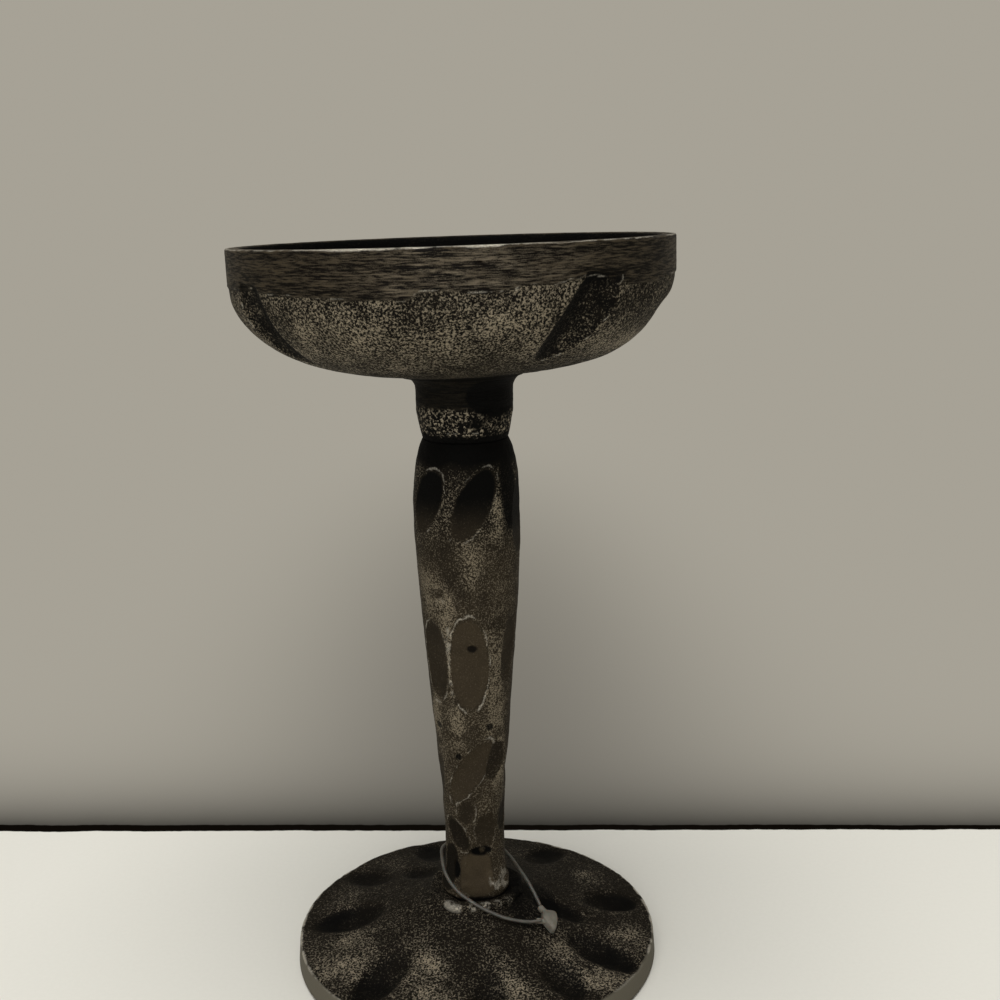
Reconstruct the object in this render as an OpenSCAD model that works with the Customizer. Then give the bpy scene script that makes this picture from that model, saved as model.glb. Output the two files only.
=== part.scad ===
/* [Felt disc] */
// Thickness of the felt disc under the base
felt_t = 1; // [0.8:0.1:2]
// How far the felt stops short of the edge of the base
felt_inset = 4; // [2:0.5:8]

/* [Base] */
// Radius of the round foot plate at its underside
base_r = 58.7; // [52:0.1:66]
// Height of the ground edge of the foot plate
base_edge_h = 6.8; // [5:0.1:8]
// Height of the seat for the stem above the underside
base_h = 20; // [19:0.5:26]
// Radius of the flat seat that the stem stands on
base_seat_r = 14; // [13.7:0.1:15]
// Draft of the ground edge, from its bottom to its top
base_draft = 0.5; // [0.2:0.1:1]
// Rounding between the edge and the domed top
base_edge_round = 0.7; // [0.4:0.1:1.2]
// Thickness of the hollow plate under its domed top
base_wall = 5.5; // [4.5:0.1:6.2]
// Width of the flat ring that the foot plate rests on
base_land_w = 12; // [9:0.5:16]
// Radius of the boss under the centre of the plate
base_boss_r = 13; // [11:0.5:13.4]
// Thickness of the boss under the socket for the stem
base_web = 5.5; // [4.8:0.1:7]

/* [Stem] */
// Height of the stem from its seat to the joint under the bowl
stem_h = 150.5; // [130:0.5:170]
// Radius at the joint with the neck of the bowl
stem_top_r = 13; // [12:0.1:14]
// Largest radius, at the shoulder
stem_shoulder_r = 16.5; // [15.5:0.1:18]
// Height of the shoulder above the seat
stem_shoulder_h = 126; // [112:1:134]
// Smallest radius, at the ankle
stem_ankle_r = 9.5; // [8.8:0.1:10.2]
// Height of the ankle above the seat
stem_ankle_h = 22; // [20:0.5:26]
// Radius of the flared foot
stem_foot_r = 11; // [10.6:0.1:12]
// Height of the lip of the flared foot
stem_lip_h = 4; // [3:0.1:5]
// Radius of the tenon under the foot
tenon_r = 8; // [7:0.1:9]
// Length of the tenon
tenon_h = 4; // [3:0.1:5]

/* [Bowl] */
// Outer radius of the ground rim band
bowl_r = 65.3; // [60:0.1:72]
// Height of the dish from its underside to its rim
bowl_h = 37.5; // [34:0.5:44]
// Height of the ground rim band
band_h = 10.5; // [9:0.5:13]
// Radius of the flat part of the underside
bowl_flat_r = 21; // [20:0.5:24]
// Wall thickness at the rim
bowl_wall = 4.2; // [3:0.1:5]
// Thickness of the dish's floor
bowl_floor_t = 6; // [5.5:0.1:7]
// Radius of the flat floor that the candle stands on
bowl_seat_r = 37.5; // [33:0.5:39]
// Rounding of the rim's two edges
rim_round = 0.8; // [0.4:0.1:1.2]
// How far the dish sits off the axis of the stem
bowl_shift = 2.1; // [0:0.1:3]
// Tilt of the dish on its neck, in degrees
bowl_tilt = 0.9; // [0:0.1:1.5]

/* [Bowl neck] */
// Height of the neck under the dish
neck_h = 21; // [19:0.5:24]
// Radius of the neck at its waist
neck_r = 14.7; // [14:0.1:15.5]
// Radius of the fillet where the neck meets the dish
neck_fillet = 3.4; // [2.5:0.1:4]

/* [Gouges] */
// Radius of the tool that cut the gouges in the dish
gouge_r = 12; // [10:0.5:15]
// Depth of the gouges in the dish
gouge_depth = 2.2; // [1.2:0.1:2.4]

/* [Tie rod] */
// Radius of the threaded rod
rod_r = 3; // [2.5:0.1:3.5]
// Length of rod screwed into the neck of the bowl
rod_grip = 15; // [12:0.5:18]
// Length of rod that stands proud of the nut
rod_proud = 1; // [0.5:0.1:1.5]
// Chamfer at the ends of the rod
rod_chamfer = 0.5; // [0.3:0.1:0.8]
// Thickness of the plain washer
washer_t = 1.6; // [1:0.1:2]
// Radius of the plain washer
washer_r = 6; // [5.5:0.1:8]
// Thickness of the split spring washer
spring_t = 1.6; // [1:0.1:2]
// Outer radius of the split spring washer
spring_r = 5.6; // [5:0.1:6.5]
// Width of the split
spring_gap = 0.8; // [0.5:0.1:1.2]
// Height of the nut
nut_h = 5; // [4:0.1:6]
// Width of the nut across its flats
nut_flats = 10; // [9:0.5:12]

/* [Weld bead] */
// Radius of the bead's round section
bead_r = 1.25; // [1.1:0.05:1.4]

/* [Tag] */
// Diameter of the nylon loop
tag_d = 1.1; // [0.8:0.1:1.3]
// Length of the lock's body
lock_l = 8.8; // [7.5:0.1:10]
// Width of the lock's body
lock_w = 5.4; // [4.6:0.1:6]
// Thickness of the lock's body
lock_t = 3; // [2.4:0.1:3.2]

/* [Hidden] */
round_fn = 96;
small_fn = 32;
tube_sides = 8;

// Colours of the finished surfaces
blackened = [0.26, 0.24, 0.21];
weld_grey = [0.45, 0.43, 0.39];
zinc = [0.62, 0.62, 0.6];
felt_black = [0.07, 0.07, 0.07];
nylon = [0.78, 0.77, 0.72];

// Clearances, and the overrun of every cut
thread_clear = 0.05;
rod_clear = 0.4;
washer_clear = 0.3;
tenon_clear = 0.2;
rod_end_clear = 1.5;
cut_over = 1;

// Span over which the slope of a surface is taken
slope_span = 8;

// Heights of the joints above the table
base_z = felt_t;
seat_z = base_z + base_h;
joint_z = seat_z + stem_h;
socket_h = tenon_h + tenon_clear;
nut_face_h = base_h - socket_h - base_web;
rod_bottom_z = base_z + nut_face_h - washer_t - spring_t - nut_h - rod_proud;
rod_top_z = joint_z + rod_grip;

// Steps along each curved stretch of an outline
curve_steps = 14;

// Base dents, each [azimuth in degrees, centre as a share of base_r, half width, half length
// and depth as shares of base_r]
base_dent_shares = [
    [-91, 0.72, 0.135, 0.2, 0.032], [-42, 0.765, 0.13, 0.215, 0.034], [5, 0.75, 0.12, 0.19, 0.03],
    [36, 0.77, 0.115, 0.185, 0.03], [60, 0.775, 0.12, 0.215, 0.034], [99, 0.78, 0.115, 0.185, 0.03],
    [148, 0.8, 0.12, 0.18, 0.03], [-160, 0.8, 0.12, 0.18, 0.03], [-126, 0.8, 0.115, 0.175, 0.03],
    [80, 0.47, 0.09, 0.165, 0.022], [-140, 0.5, 0.1, 0.165, 0.022], [172, 0.5, 0.09, 0.16, 0.02]];

// Stem facets, each [azimuth in degrees, height as a share of stem_h, slant in degrees,
// half length as a share of stem_h, depth as a share of stem_shoulder_r]
stem_facet_shares = [
    [-49, 0.885, 14, 0.083, 0.062], [8, 0.89, 17, 0.09, 0.066], [77, 0.85, 4, 0.125, 0.07],
    [128, 0.885, 12, 0.085, 0.062], [182, 0.88, 15, 0.09, 0.066], [-112, 0.87, 10, 0.085, 0.062],
    [-52, 0.545, 0, 0.088, 0.06], [-2, 0.545, 0, 0.108, 0.084], [57, 0.56, 4, 0.08, 0.03],
    [108, 0.54, 0, 0.1, 0.07], [162, 0.55, -3, 0.095, 0.066], [-142, 0.535, 0, 0.1, 0.07],
    [-6, 0.3, 26, 0.075, 0.066], [38, 0.325, 6, 0.045, 0.04], [96, 0.31, 20, 0.07, 0.06],
    [160, 0.29, 24, 0.072, 0.062], [-134, 0.3, 22, 0.07, 0.06], [-78, 0.27, 15, 0.06, 0.03],
    [-16, 0.205, 8, 0.035, 0.034], [-34, 0.15, -22, 0.035, 0.04], [22, 0.165, 0, 0.04, 0.04],
    [70, 0.19, 10, 0.04, 0.034], [4, 0.07, 0, 0.05, 0.062], [-58, 0.075, 8, 0.045, 0.05],
    [125, 0.16, -12, 0.04, 0.036], [-150, 0.17, 10, 0.04, 0.036]];

// Azimuths of the gouges round the dish, in degrees
gouge_angles = [-53, 35, 80, 140, 192, 246];

// Weld lumps, each [azimuth in degrees, distance from the axis and height over the seat as
// shares of base_seat_r, radius as a share of bead_r]
lump_shares = [
    [-50, 1.05, -0.03, 1.45], [-36, 1.05, -0.035, 1.3], [-15, 1.04, -0.03, 1.2],
    [6, 1.05, -0.03, 1.4], [27, 1.04, -0.03, 1.25], [45, 1.02, -0.01, 1.4],
    [72, 1.04, -0.03, 1.2], [110, 1.05, -0.03, 1.35], [150, 1.04, -0.03, 1.4],
    [-165, 1.04, -0.03, 1.25], [-120, 1.05, -0.03, 1.4], [-80, 1.04, -0.03, 1.2]];

// Route of the nylon loop, in millimetres from the centre of the stem's seat
tag_route = [
    [20.6, -16.9, -3.3], [17.7, -17.5, -3.3], [14.7, -17.8, -2.9], [11.7, -17.8, -2.3],
    [8.7, -17.6, -1.5], [5.9, -17.2, -0.4], [3.1, -16.7, 0.8], [0.3, -16, 2.1],
    [-2.2, -15.1, 3.5], [-4.7, -14, 4.9], [-6.8, -12.6, 6.5], [-8.5, -10.9, 8.2],
    [-9.8, -8.7, 10], [-10.5, -6.2, 11.5], [-10.8, -3.5, 12.6], [-11, -0.7, 13],
    [-10.8, 2.3, 12.8], [-9.9, 5.2, 12.3], [-8.3, 7.6, 11.9], [-6, 9.5, 11.6],
    [-3.4, 10.8, 11.4], [-0.6, 11.4, 11.1], [2.2, 11.5, 10.7], [4.9, 10.9, 10.1],
    [7.4, 9.7, 9.3], [9.5, 8, 8.3], [11.3, 5.9, 7.2], [12.8, 3.5, 6.2], [14.2, 1, 5.2],
    [15.6, -1.4, 4.1], [17, -3.7, 2.8], [18.2, -5.8, 1.3], [19.4, -7.9, -0.4], [20.5, -10, -2.1]];

// The lock's place from the centre of the stem's seat, and how it is turned and leans
lock_at = [22.9, -11.8, -3.65];
lock_azimuth = 60;
lock_lean = 21;
lock_turn = -50;
lock_outline_shares = [
    [0, -0.6], [0.1, -0.92], [0.45, -1], [0.95, -0.28], [1, 0], [0.95, 0.3], [0.5, 0.84],
    [0.14, 0.95], [0, 0.64]];
lock_neck_l = 2.6;
lock_neck_r = 1.05;
lock_neck_turn = 34;
lock_neck_side = 0.7;
lock_nub_l = 2.2;
lock_nub_r = 0.85;
lock_nub_place_share = 0.52;

// Point at share t along a cubic curve from a to d, pulled towards b and c
function curve_at(a, b, c, d, t) =
    pow(1 - t, 3) * a + 3 * t * pow(1 - t, 2) * b + 3 * t * t * (1 - t) * c + pow(t, 3) * d;

// The curve's points, leaving out its first
function curve(a, b, c, d, n = curve_steps) = [for (i = [1:n]) curve_at(a, b, c, d, i / n)];

// Direction as a unit vector
function unit(v) = v / norm(v);

// Outline of the base's domed top, from its edge to the seat, as [radius, height]
dome_edge_r = base_r - base_draft;
dome_edge = [dome_edge_r - base_edge_round, base_edge_h];
dome_pull_shares = [0.715, 0.16, 0.41, 0.49];
base_land_r = base_r - base_land_w;
function dome_line() = curve(
    dome_edge,
    [dome_edge_r * dome_pull_shares[0], base_edge_h + (base_h - base_edge_h) * dome_pull_shares[1]],
    [dome_edge_r * dome_pull_shares[2], base_edge_h + (base_h - base_edge_h) * dome_pull_shares[3]],
    [base_seat_r, base_h]);
dome_heights = [for (p = concat(dome_line(), [dome_edge])) [p[0], p[1]]];
function dome_height(r) = lookup(r, dome_heights);
function dome_slope(r) = atan2(
    dome_height(r - slope_span / 2) - dome_height(r + slope_span / 2), slope_span);

// Outline of the stem from foot to joint, as [radius, height over the seat]
foot_shares = [0.93, 0.3, 0.88, 0.11, 1, 0.2];
taper_shares = [0.145, 0.22, 0.97, 0.79];
shoulder_shares = [1.012, 0.45, 0.63, 0.815];
function stem_line() = concat(
    [[stem_foot_r * foot_shares[0], 0], [stem_foot_r, stem_lip_h * foot_shares[1]],
     [stem_foot_r, stem_lip_h]],
    curve(
        [stem_foot_r, stem_lip_h],
        [stem_foot_r * foot_shares[2], stem_lip_h + (stem_ankle_h - stem_lip_h) * foot_shares[3]],
        [stem_ankle_r * foot_shares[4], stem_lip_h + (stem_ankle_h - stem_lip_h) * foot_shares[5]],
        [stem_ankle_r, stem_ankle_h]),
    curve(
        [stem_ankle_r, stem_ankle_h],
        [stem_ankle_r + (stem_shoulder_r - stem_ankle_r) * taper_shares[0],
         stem_ankle_h + (stem_shoulder_h - stem_ankle_h) * taper_shares[1]],
        [stem_ankle_r + (stem_shoulder_r - stem_ankle_r) * taper_shares[2],
         stem_ankle_h + (stem_shoulder_h - stem_ankle_h) * taper_shares[3]],
        [stem_shoulder_r, stem_shoulder_h]),
    curve(
        [stem_shoulder_r, stem_shoulder_h],
        [stem_shoulder_r * shoulder_shares[0],
         stem_shoulder_h + (stem_h - stem_shoulder_h) * shoulder_shares[1]],
        [stem_top_r + (stem_shoulder_r - stem_top_r) * shoulder_shares[2],
         stem_shoulder_h + (stem_h - stem_shoulder_h) * shoulder_shares[3]],
        [stem_top_r, stem_h]));
stem_radii = [for (p = stem_line()) [p[1], p[0]]];
function stem_radius(h) = lookup(h, stem_radii);
function stem_lean(h) = atan2(
    stem_radius(h + slope_span / 2) - stem_radius(h - slope_span / 2), slope_span);

// Outlines of the dish, outside and inside, as [radius, height over its underside]
band_foot_h = bowl_h - band_h;
bowl_out_shares = [0.779, 0.022, 0.572];
bowl_in_shares = [0.77, 0.09, 0.58];
cavity_r = bowl_r - bowl_wall;
function bowl_out_line() = curve(
    [bowl_flat_r, 0],
    [bowl_r * bowl_out_shares[0], band_foot_h * bowl_out_shares[1]],
    [bowl_r, band_foot_h * bowl_out_shares[2]],
    [bowl_r, band_foot_h]);
function bowl_in_line() = curve(
    [cavity_r, band_foot_h],
    [cavity_r, bowl_floor_t + (band_foot_h - bowl_floor_t) * bowl_in_shares[2]],
    [cavity_r * bowl_in_shares[0], bowl_floor_t + (band_foot_h - bowl_floor_t) * bowl_in_shares[1]],
    [bowl_seat_r, bowl_floor_t]);

// Outline of the neck, as [radius, height over the joint]
neck_shares = [0.14, 0.4, 0.4, 0.68];
function neck_line() = concat(
    [[stem_top_r, 0],
     [stem_top_r + (neck_r - stem_top_r) * neck_shares[1], neck_h * neck_shares[0]],
     [neck_r, neck_h * neck_shares[2]], [neck_r, neck_h * neck_shares[3]]],
    [for (a = [0:15:90])
        [neck_r + neck_fillet * (1 - cos(a)), neck_h - neck_fillet + neck_fillet * sin(a)]]);

// Rings of the nylon loop round the route's points
function tag_way(i) = unit(
    tag_route[min(len(tag_route) - 1, i + 1)] - tag_route[max(0, i - 1)]);
function ring_at(i) = let (
    side = unit(cross(tag_way(i), [0, 0, 1])),
    up = cross(side, tag_way(i)))
    [for (k = [0:tube_sides - 1])
        tag_route[i]
            + tag_d / 2 * (side * cos(360 * k / tube_sides) + up * sin(360 * k / tube_sides))];

// Turns and leans a cutter so that +X points out of the surface at this place
module on_surface(azimuth, radius, height, lean) {
    rotate([0, 0, azimuth - 90])
        translate([radius, 0, height])
            rotate([0, lean, 0])
                children();
}

// Hollow left by a round-nosed tool rocked along a line
module dent_cutter(half_w, half_l, depth) {
    nose_r = half_w * half_w / (2 * depth);
    rock_r = max(half_l * half_l / (2 * depth), 2 * nose_r + cut_over);
    translate([0, 0, rock_r - depth])
        rotate([90, 0, 0])
            rotate_extrude($fn = round_fn)
                translate([rock_r - nose_r, 0])
                    circle(r = nose_r, $fn = round_fn);
}

// Broad facet struck across the stem
module facet_cutter(slant, half_l, depth) {
    roll_r = half_l * half_l / (2 * depth);
    rotate([slant, 0, 0])
        translate([roll_r - depth, 0, 0])
            rotate([90, 0, 0])
                cylinder(r = roll_r, h = 4 * stem_shoulder_r, center = true, $fn = round_fn);
}

module base_body() {
    rotate_extrude($fn = round_fn)
        polygon(concat(
            [[0, 0], [base_r, 0], [dome_edge_r, base_edge_h - base_edge_round], dome_edge],
            dome_line(),
            [[0, base_h]]));
}

// Space under the plate, round the boss that the tie rod's nut pulls against
module base_hollow() {
    rotate_extrude($fn = round_fn)
        polygon(concat(
            [[0, -cut_over], [base_land_r, -cut_over],
             [base_land_r, dome_height(base_land_r) - base_wall]],
            [for (p = dome_line()) if (p[0] < base_land_r && p[0] > base_boss_r)
                [p[0], p[1] - base_wall]],
            [[base_boss_r, base_h - base_wall], [base_boss_r, nut_face_h], [0, nut_face_h]]));
}

module stem_body() {
    rotate_extrude($fn = round_fn)
        polygon(concat([[0, 0]], stem_line(), [[0, stem_h]]));
}

// Round foot plate with its dents, hollow underneath, with the socket for the stem's tenon
module base() {
    color(blackened)
        translate([0, 0, base_z])
            difference() {
                base_body();
                for (d = base_dent_shares) {
                    r = d[1] * base_r;
                    on_surface(d[0], r, dome_height(r), dome_slope(r))
                        dent_cutter(d[2] * base_r, d[3] * base_r, d[4] * base_r);
                }
                base_hollow();
                translate([0, 0, base_h - socket_h])
                    cylinder(r = tenon_r + tenon_clear, h = socket_h + cut_over, $fn = round_fn);
                translate([0, 0, -cut_over])
                    cylinder(r = rod_r + rod_clear, h = base_h, $fn = round_fn);
            }
}

// Tapered stem with its struck facets, bored through for the tie rod
module stem() {
    color(blackened)
        translate([0, 0, seat_z])
            difference() {
                union() {
                    difference() {
                        stem_body();
                        for (f = stem_facet_shares) {
                            h = f[1] * stem_h;
                            on_surface(f[0], stem_radius(h), h, stem_lean(h))
                                facet_cutter(f[2], f[3] * stem_h, f[4] * stem_shoulder_r);
                        }
                    }
                    translate([0, 0, -tenon_h])
                        cylinder(r = tenon_r, h = tenon_h + stem_lip_h, $fn = round_fn);
                }
                translate([0, 0, -tenon_h - cut_over])
                    cylinder(r = rod_r + rod_clear, h = stem_h + tenon_h + 2 * cut_over,
                             $fn = round_fn);
            }
}

// The dish alone, about its own axis, with its underside at height zero
module dish() {
    difference() {
        rotate_extrude($fn = round_fn)
            polygon(concat(
                [[0, 0], [bowl_flat_r, 0]],
                bowl_out_line(),
                [[bowl_r, bowl_h - rim_round], [bowl_r - rim_round, bowl_h],
                 [cavity_r + rim_round, bowl_h], [cavity_r, bowl_h - rim_round],
                 [cavity_r, band_foot_h]],
                bowl_in_line(),
                [[0, bowl_floor_t]]));
        for (a = gouge_angles)
            rotate([0, 0, a - 90])
                gouge_cutter();
    }
}

// Gouge down the side of the dish, stopped by the rim band. Its floor is an arc from the band's
// foot to a low point on the dish, flatter than the dish, and deepest halfway
gouge_low_share = 0.36;
gouge_mid_share = 0.68;
function bowl_out_at(t) = curve_at(
    [bowl_flat_r, 0],
    [bowl_r * bowl_out_shares[0], band_foot_h * bowl_out_shares[1]],
    [bowl_r, band_foot_h * bowl_out_shares[2]],
    [bowl_r, band_foot_h], t);
module gouge_cutter() {
    low = bowl_out_at(gouge_low_share);
    high = [bowl_r, band_foot_h];
    way = unit(high - low);
    out = [way[1], -way[0]];
    chord = norm(high - low);
    rise = (bowl_out_at(gouge_mid_share) - low) * out - gouge_depth;
    arc_r = chord * chord / (8 * rise) + rise / 2;
    centre = (low + high) / 2 - out * (arc_r - rise);
    intersection() {
        translate([centre[0], 0, centre[1]])
            rotate([90, 0, 0])
                rotate_extrude($fn = round_fn)
                    translate([arc_r + gouge_r, 0])
                        circle(r = gouge_r, $fn = round_fn);
        translate([0, 0, -cut_over])
            cylinder(r = 2 * bowl_r, h = band_foot_h + cut_over, $fn = round_fn);
        translate([0, -bowl_r, -cut_over])
            cube([2 * bowl_r, 2 * bowl_r, bowl_h]);
    }
}

// Dish and neck in one casting, tapped from below for the tie rod
module bowl() {
    color(blackened)
        translate([0, 0, joint_z])
            difference() {
                union() {
                    rotate_extrude($fn = round_fn)
                        polygon(concat(
                            [[0, 0]],
                            neck_line(),
                            [[neck_r + neck_fillet, neck_h + bowl_floor_t / 3],
                             [0, neck_h + bowl_floor_t / 3]]));
                    translate([-bowl_shift, 0, neck_h])
                        rotate([0, -bowl_tilt, 0])
                            dish();
                }
                translate([0, 0, -cut_over])
                    cylinder(r = rod_r + thread_clear, h = rod_grip + rod_end_clear + cut_over,
                             $fn = round_fn);
            }
}

// Threaded rod that draws bowl, stem and base together
module tie_rod() {
    color(zinc)
        translate([0, 0, rod_bottom_z])
            rotate_extrude($fn = round_fn)
                polygon([
                    [0, 0], [rod_r - rod_chamfer, 0], [rod_r, rod_chamfer],
                    [rod_r, rod_top_z - rod_bottom_z - rod_chamfer],
                    [rod_r - rod_chamfer, rod_top_z - rod_bottom_z],
                    [0, rod_top_z - rod_bottom_z]]);
}

module rod_washer() {
    color(zinc)
        translate([0, 0, base_z + nut_face_h - washer_t])
            difference() {
                cylinder(r = washer_r, h = washer_t, $fn = round_fn);
                translate([0, 0, -cut_over])
                    cylinder(r = rod_r + washer_clear, h = washer_t + 2 * cut_over, $fn = round_fn);
            }
}

module spring_washer() {
    color(zinc)
        translate([0, 0, base_z + nut_face_h - washer_t - spring_t])
            difference() {
                cylinder(r = spring_r, h = spring_t, $fn = round_fn);
                translate([0, 0, -cut_over])
                    cylinder(r = rod_r + washer_clear, h = spring_t + 2 * cut_over, $fn = round_fn);
                translate([0, -spring_gap / 2, -cut_over])
                    cube([spring_r + cut_over, spring_gap, spring_t + 2 * cut_over]);
            }
}

// Hexagon nut, chamfered where it would meet a spanner
module rod_nut() {
    corner_r = nut_flats / 2 / cos(30);
    cone_h = corner_r - nut_flats / 2;
    color(zinc)
        translate([0, 0, rod_bottom_z + rod_proud])
            difference() {
                intersection() {
                    cylinder(r = corner_r, h = nut_h, $fn = 6);
                    cylinder(r1 = nut_flats / 2, r2 = nut_flats / 2 + 2 * nut_h, h = nut_h,
                             $fn = round_fn);
                    translate([0, 0, -cut_over])
                        cylinder(r1 = corner_r + cut_over, r2 = corner_r + cone_h,
                                 h = nut_h + 2 * cut_over, $fn = round_fn);
                }
                translate([0, 0, -cut_over])
                    cylinder(r = rod_r + thread_clear, h = nut_h + 2 * cut_over, $fn = round_fn);
            }
}

// Lumpy bead round the stem's foot and the thin weld that runs in under it, fused into both
module weld_bead() {
    half_t = bead_r / 2;
    inner_r = stem_foot_r - half_t;
    color(weld_grey)
        translate([0, 0, seat_z])
            union() {
                rotate_extrude($fn = round_fn)
                    translate([base_seat_r, 0])
                        circle(r = bead_r, $fn = small_fn);
                rotate_extrude($fn = round_fn)
                    polygon([[inner_r, -half_t], [base_seat_r, -half_t],
                             [base_seat_r, half_t], [inner_r, half_t]]);
                for (l = lump_shares)
                    rotate([0, 0, l[0] - 90])
                        translate([l[1] * base_seat_r, 0, l[2] * base_seat_r])
                            sphere(r = l[3] * bead_r, $fn = small_fn);
            }
}

module felt_disc() {
    color(felt_black)
        cylinder(r = base_r - felt_inset, h = felt_t, $fn = round_fn);
}

// Nylon loop round the foot of the stem
module tag_loop() {
    color(nylon)
        translate([0, 0, seat_z])
            polyhedron(
                points = [for (i = [0:len(tag_route) - 1]) each ring_at(i)],
                faces = concat(
                    [[for (k = [tube_sides - 1:-1:0]) k]],
                    [for (i = [0:len(tag_route) - 2], k = [0:tube_sides - 1])
                        let (a = i * tube_sides, m = (k + 1) % tube_sides)
                        [a + k, a + tube_sides + m, a + tube_sides + k]],
                    [for (i = [0:len(tag_route) - 2], k = [0:tube_sides - 1])
                        let (a = i * tube_sides, m = (k + 1) % tube_sides)
                        [a + k, a + m, a + tube_sides + m]],
                    [[for (k = [0:tube_sides - 1]) (len(tag_route) - 1) * tube_sides + k]]));
}

// Leaf-shaped lock that both ends of the loop run into
module tag_lock() {
    color(nylon)
        translate([0, 0, seat_z])
            translate(lock_at)
                rotate([0, 0, lock_azimuth - 90])
                    rotate([0, lock_lean, 0])
                        rotate([0, 0, lock_turn])
                            lock_shape();
}

// The lock along +X from its neck to its tip, with the nub for the loop's other end
module lock_shape() {
    linear_extrude(height = lock_t, center = true)
        polygon([for (p = lock_outline_shares) [p[0] * lock_l, p[1] * lock_w / 2]]);
    translate([lock_neck_side, -lock_neck_side, 0])
        rotate([0, 0, 180 + lock_neck_turn])
            rotate([0, 90, 0])
                cylinder(r = lock_neck_r, h = lock_neck_l + lock_neck_side, $fn = small_fn);
    translate([lock_l * lock_nub_place_share, 0, 0])
        rotate([90, 0, 0])
            cylinder(r = lock_nub_r, h = lock_w / 2 + lock_nub_l, $fn = small_fn);
}

bowl();
stem();
base();
tie_rod();
rod_washer();
spring_washer();
rod_nut();
weld_bead();
felt_disc();
tag_loop();
tag_lock();
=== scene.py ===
import math

import bpy
import numpy as np
from mathutils import Matrix, Vector


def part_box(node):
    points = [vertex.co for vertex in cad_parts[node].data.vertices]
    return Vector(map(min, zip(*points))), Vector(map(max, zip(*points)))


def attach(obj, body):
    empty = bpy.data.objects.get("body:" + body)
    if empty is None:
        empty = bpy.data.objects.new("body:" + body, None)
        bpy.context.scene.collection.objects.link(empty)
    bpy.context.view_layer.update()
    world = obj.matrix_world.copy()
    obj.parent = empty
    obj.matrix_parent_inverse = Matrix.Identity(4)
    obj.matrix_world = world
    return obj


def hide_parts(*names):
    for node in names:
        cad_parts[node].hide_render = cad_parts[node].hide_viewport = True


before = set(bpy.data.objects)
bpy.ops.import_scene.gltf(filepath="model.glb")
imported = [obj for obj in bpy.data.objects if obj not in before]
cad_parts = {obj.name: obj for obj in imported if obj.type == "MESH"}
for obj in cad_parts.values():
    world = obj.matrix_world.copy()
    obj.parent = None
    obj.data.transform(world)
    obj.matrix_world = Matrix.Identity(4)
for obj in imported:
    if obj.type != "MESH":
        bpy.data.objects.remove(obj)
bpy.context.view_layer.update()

mm = 0.001                      # shapes are worked out in millimetres and laid in metres
upright = np.array([0, 0, 1.0])
quarter = np.radians(np.arange(0, 91, 15))   # a quarter turn in steps, for rounded corners
tableSize = 4096                # random values that one noise draws, a power of two
clear = -5.0                    # depth of a cut where the tool does not reach


class Values(dict):
    # a dictionary of one piece's changeable values, read as names
    __getattr__ = dict.__getitem__



# Heights that the castings share, taken from the frame
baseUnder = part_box("base")[0][2] / mm
seatHeight = baseUnder + 20.0
jointHeight = seatHeight + 150.5


def bezier(a, b, c, d, count=160):
    # cubic curve: the four points weighted by (1-t)^3, 3(1-t)^2 t, 3(1-t) t^2 and t^3
    t = np.linspace(0, 1, count)[:, None]
    a, b, c, d = (np.array(p, float) for p in (a, b, c, d))
    return (1 - t) ** 3 * a + 3 * (1 - t) ** 2 * t * b + 3 * (1 - t) * t * t * c + t ** 3 * d


def spread(line, count):
    # the same line cut into count equal lengths
    line = np.array(line, float)
    run = np.concatenate([[0], np.cumsum(np.linalg.norm(np.diff(line, axis=0), axis=1))])
    at = np.linspace(0, run[-1], count + 1)
    return np.stack([np.interp(at, run, line[:, k]) for k in range(line.shape[1])], axis=1)


def outline(parts, loop):
    # one profile of radius and height from named parts, each with its own number of rows
    rows, names = [], []
    for name, line, count in parts:
        rows.append(spread(line, count)[:-1])
        names += [name] * count
    if not loop:
        rows.append(np.array(parts[-1][1][-1:], float))
        names.append(parts[-1][0])
    return np.concatenate(rows), np.array(names)


def rowsOf(part, *names):
    # true on the rows of these parts, so that what it multiplies is 0 on all others
    return np.isin(part, names)[:, None]


def outward(profile, loop):
    # the profile runs with the metal on its left, so its normal is its direction turned right
    if loop:
        way = np.roll(profile, -1, axis=0) - np.roll(profile, 1, axis=0)
    else:
        way = np.gradient(profile, axis=0)
    way /= most(np.linalg.norm(way, axis=1), 1e-9)[:, None]
    return np.stack([way[:, 1], -way[:, 0]], axis=1)


def revolve(profile, columns):
    # radius and height carried round the upright axis
    turn = np.linspace(0, 2 * np.pi, columns, endpoint=False)
    around = np.stack([np.cos(turn), np.sin(turn), np.zeros(columns)], axis=1)
    return profile[:, :1, None] * around + profile[:, 1:, None] * upright


def turnedBody(profile, loop, columns):
    # points, outward directions and azimuths of a profile carried round
    points = revolve(profile, columns)
    azimuth = np.degrees(np.arctan2(points[..., 0], -points[..., 1]))
    return points, revolve(outward(profile, loop), columns), azimuth


def smooth(low, high, x):
    # 0 at low and 1 at high, whichever is larger, by t^2 (3 - 2t)
    t = np.clip((x - low) / (high - low), 0, 1)
    return t * t * (3 - 2 * t)


def most(*values):
    return np.maximum.reduce(np.broadcast_arrays(*values))


def bell(x, width):
    # 1 at x = 0, falling off as exp(-(x / width)^2)
    return np.exp(-(x / width) ** 2)


def cubes(points, size):
    # the points in units of this size, and the cube that each lies in
    at = points / size
    return at, np.floor(at).astype(np.int64)


def tableRow(cell):
    # a cube's row in a noise's table: its three numbers times large primes, mixed
    x, y, z = np.moveaxis(cell, -1, 0)
    return (x * 73856093 ^ y * 19349663 ^ z * 83492791) & (tableSize - 1)


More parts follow.
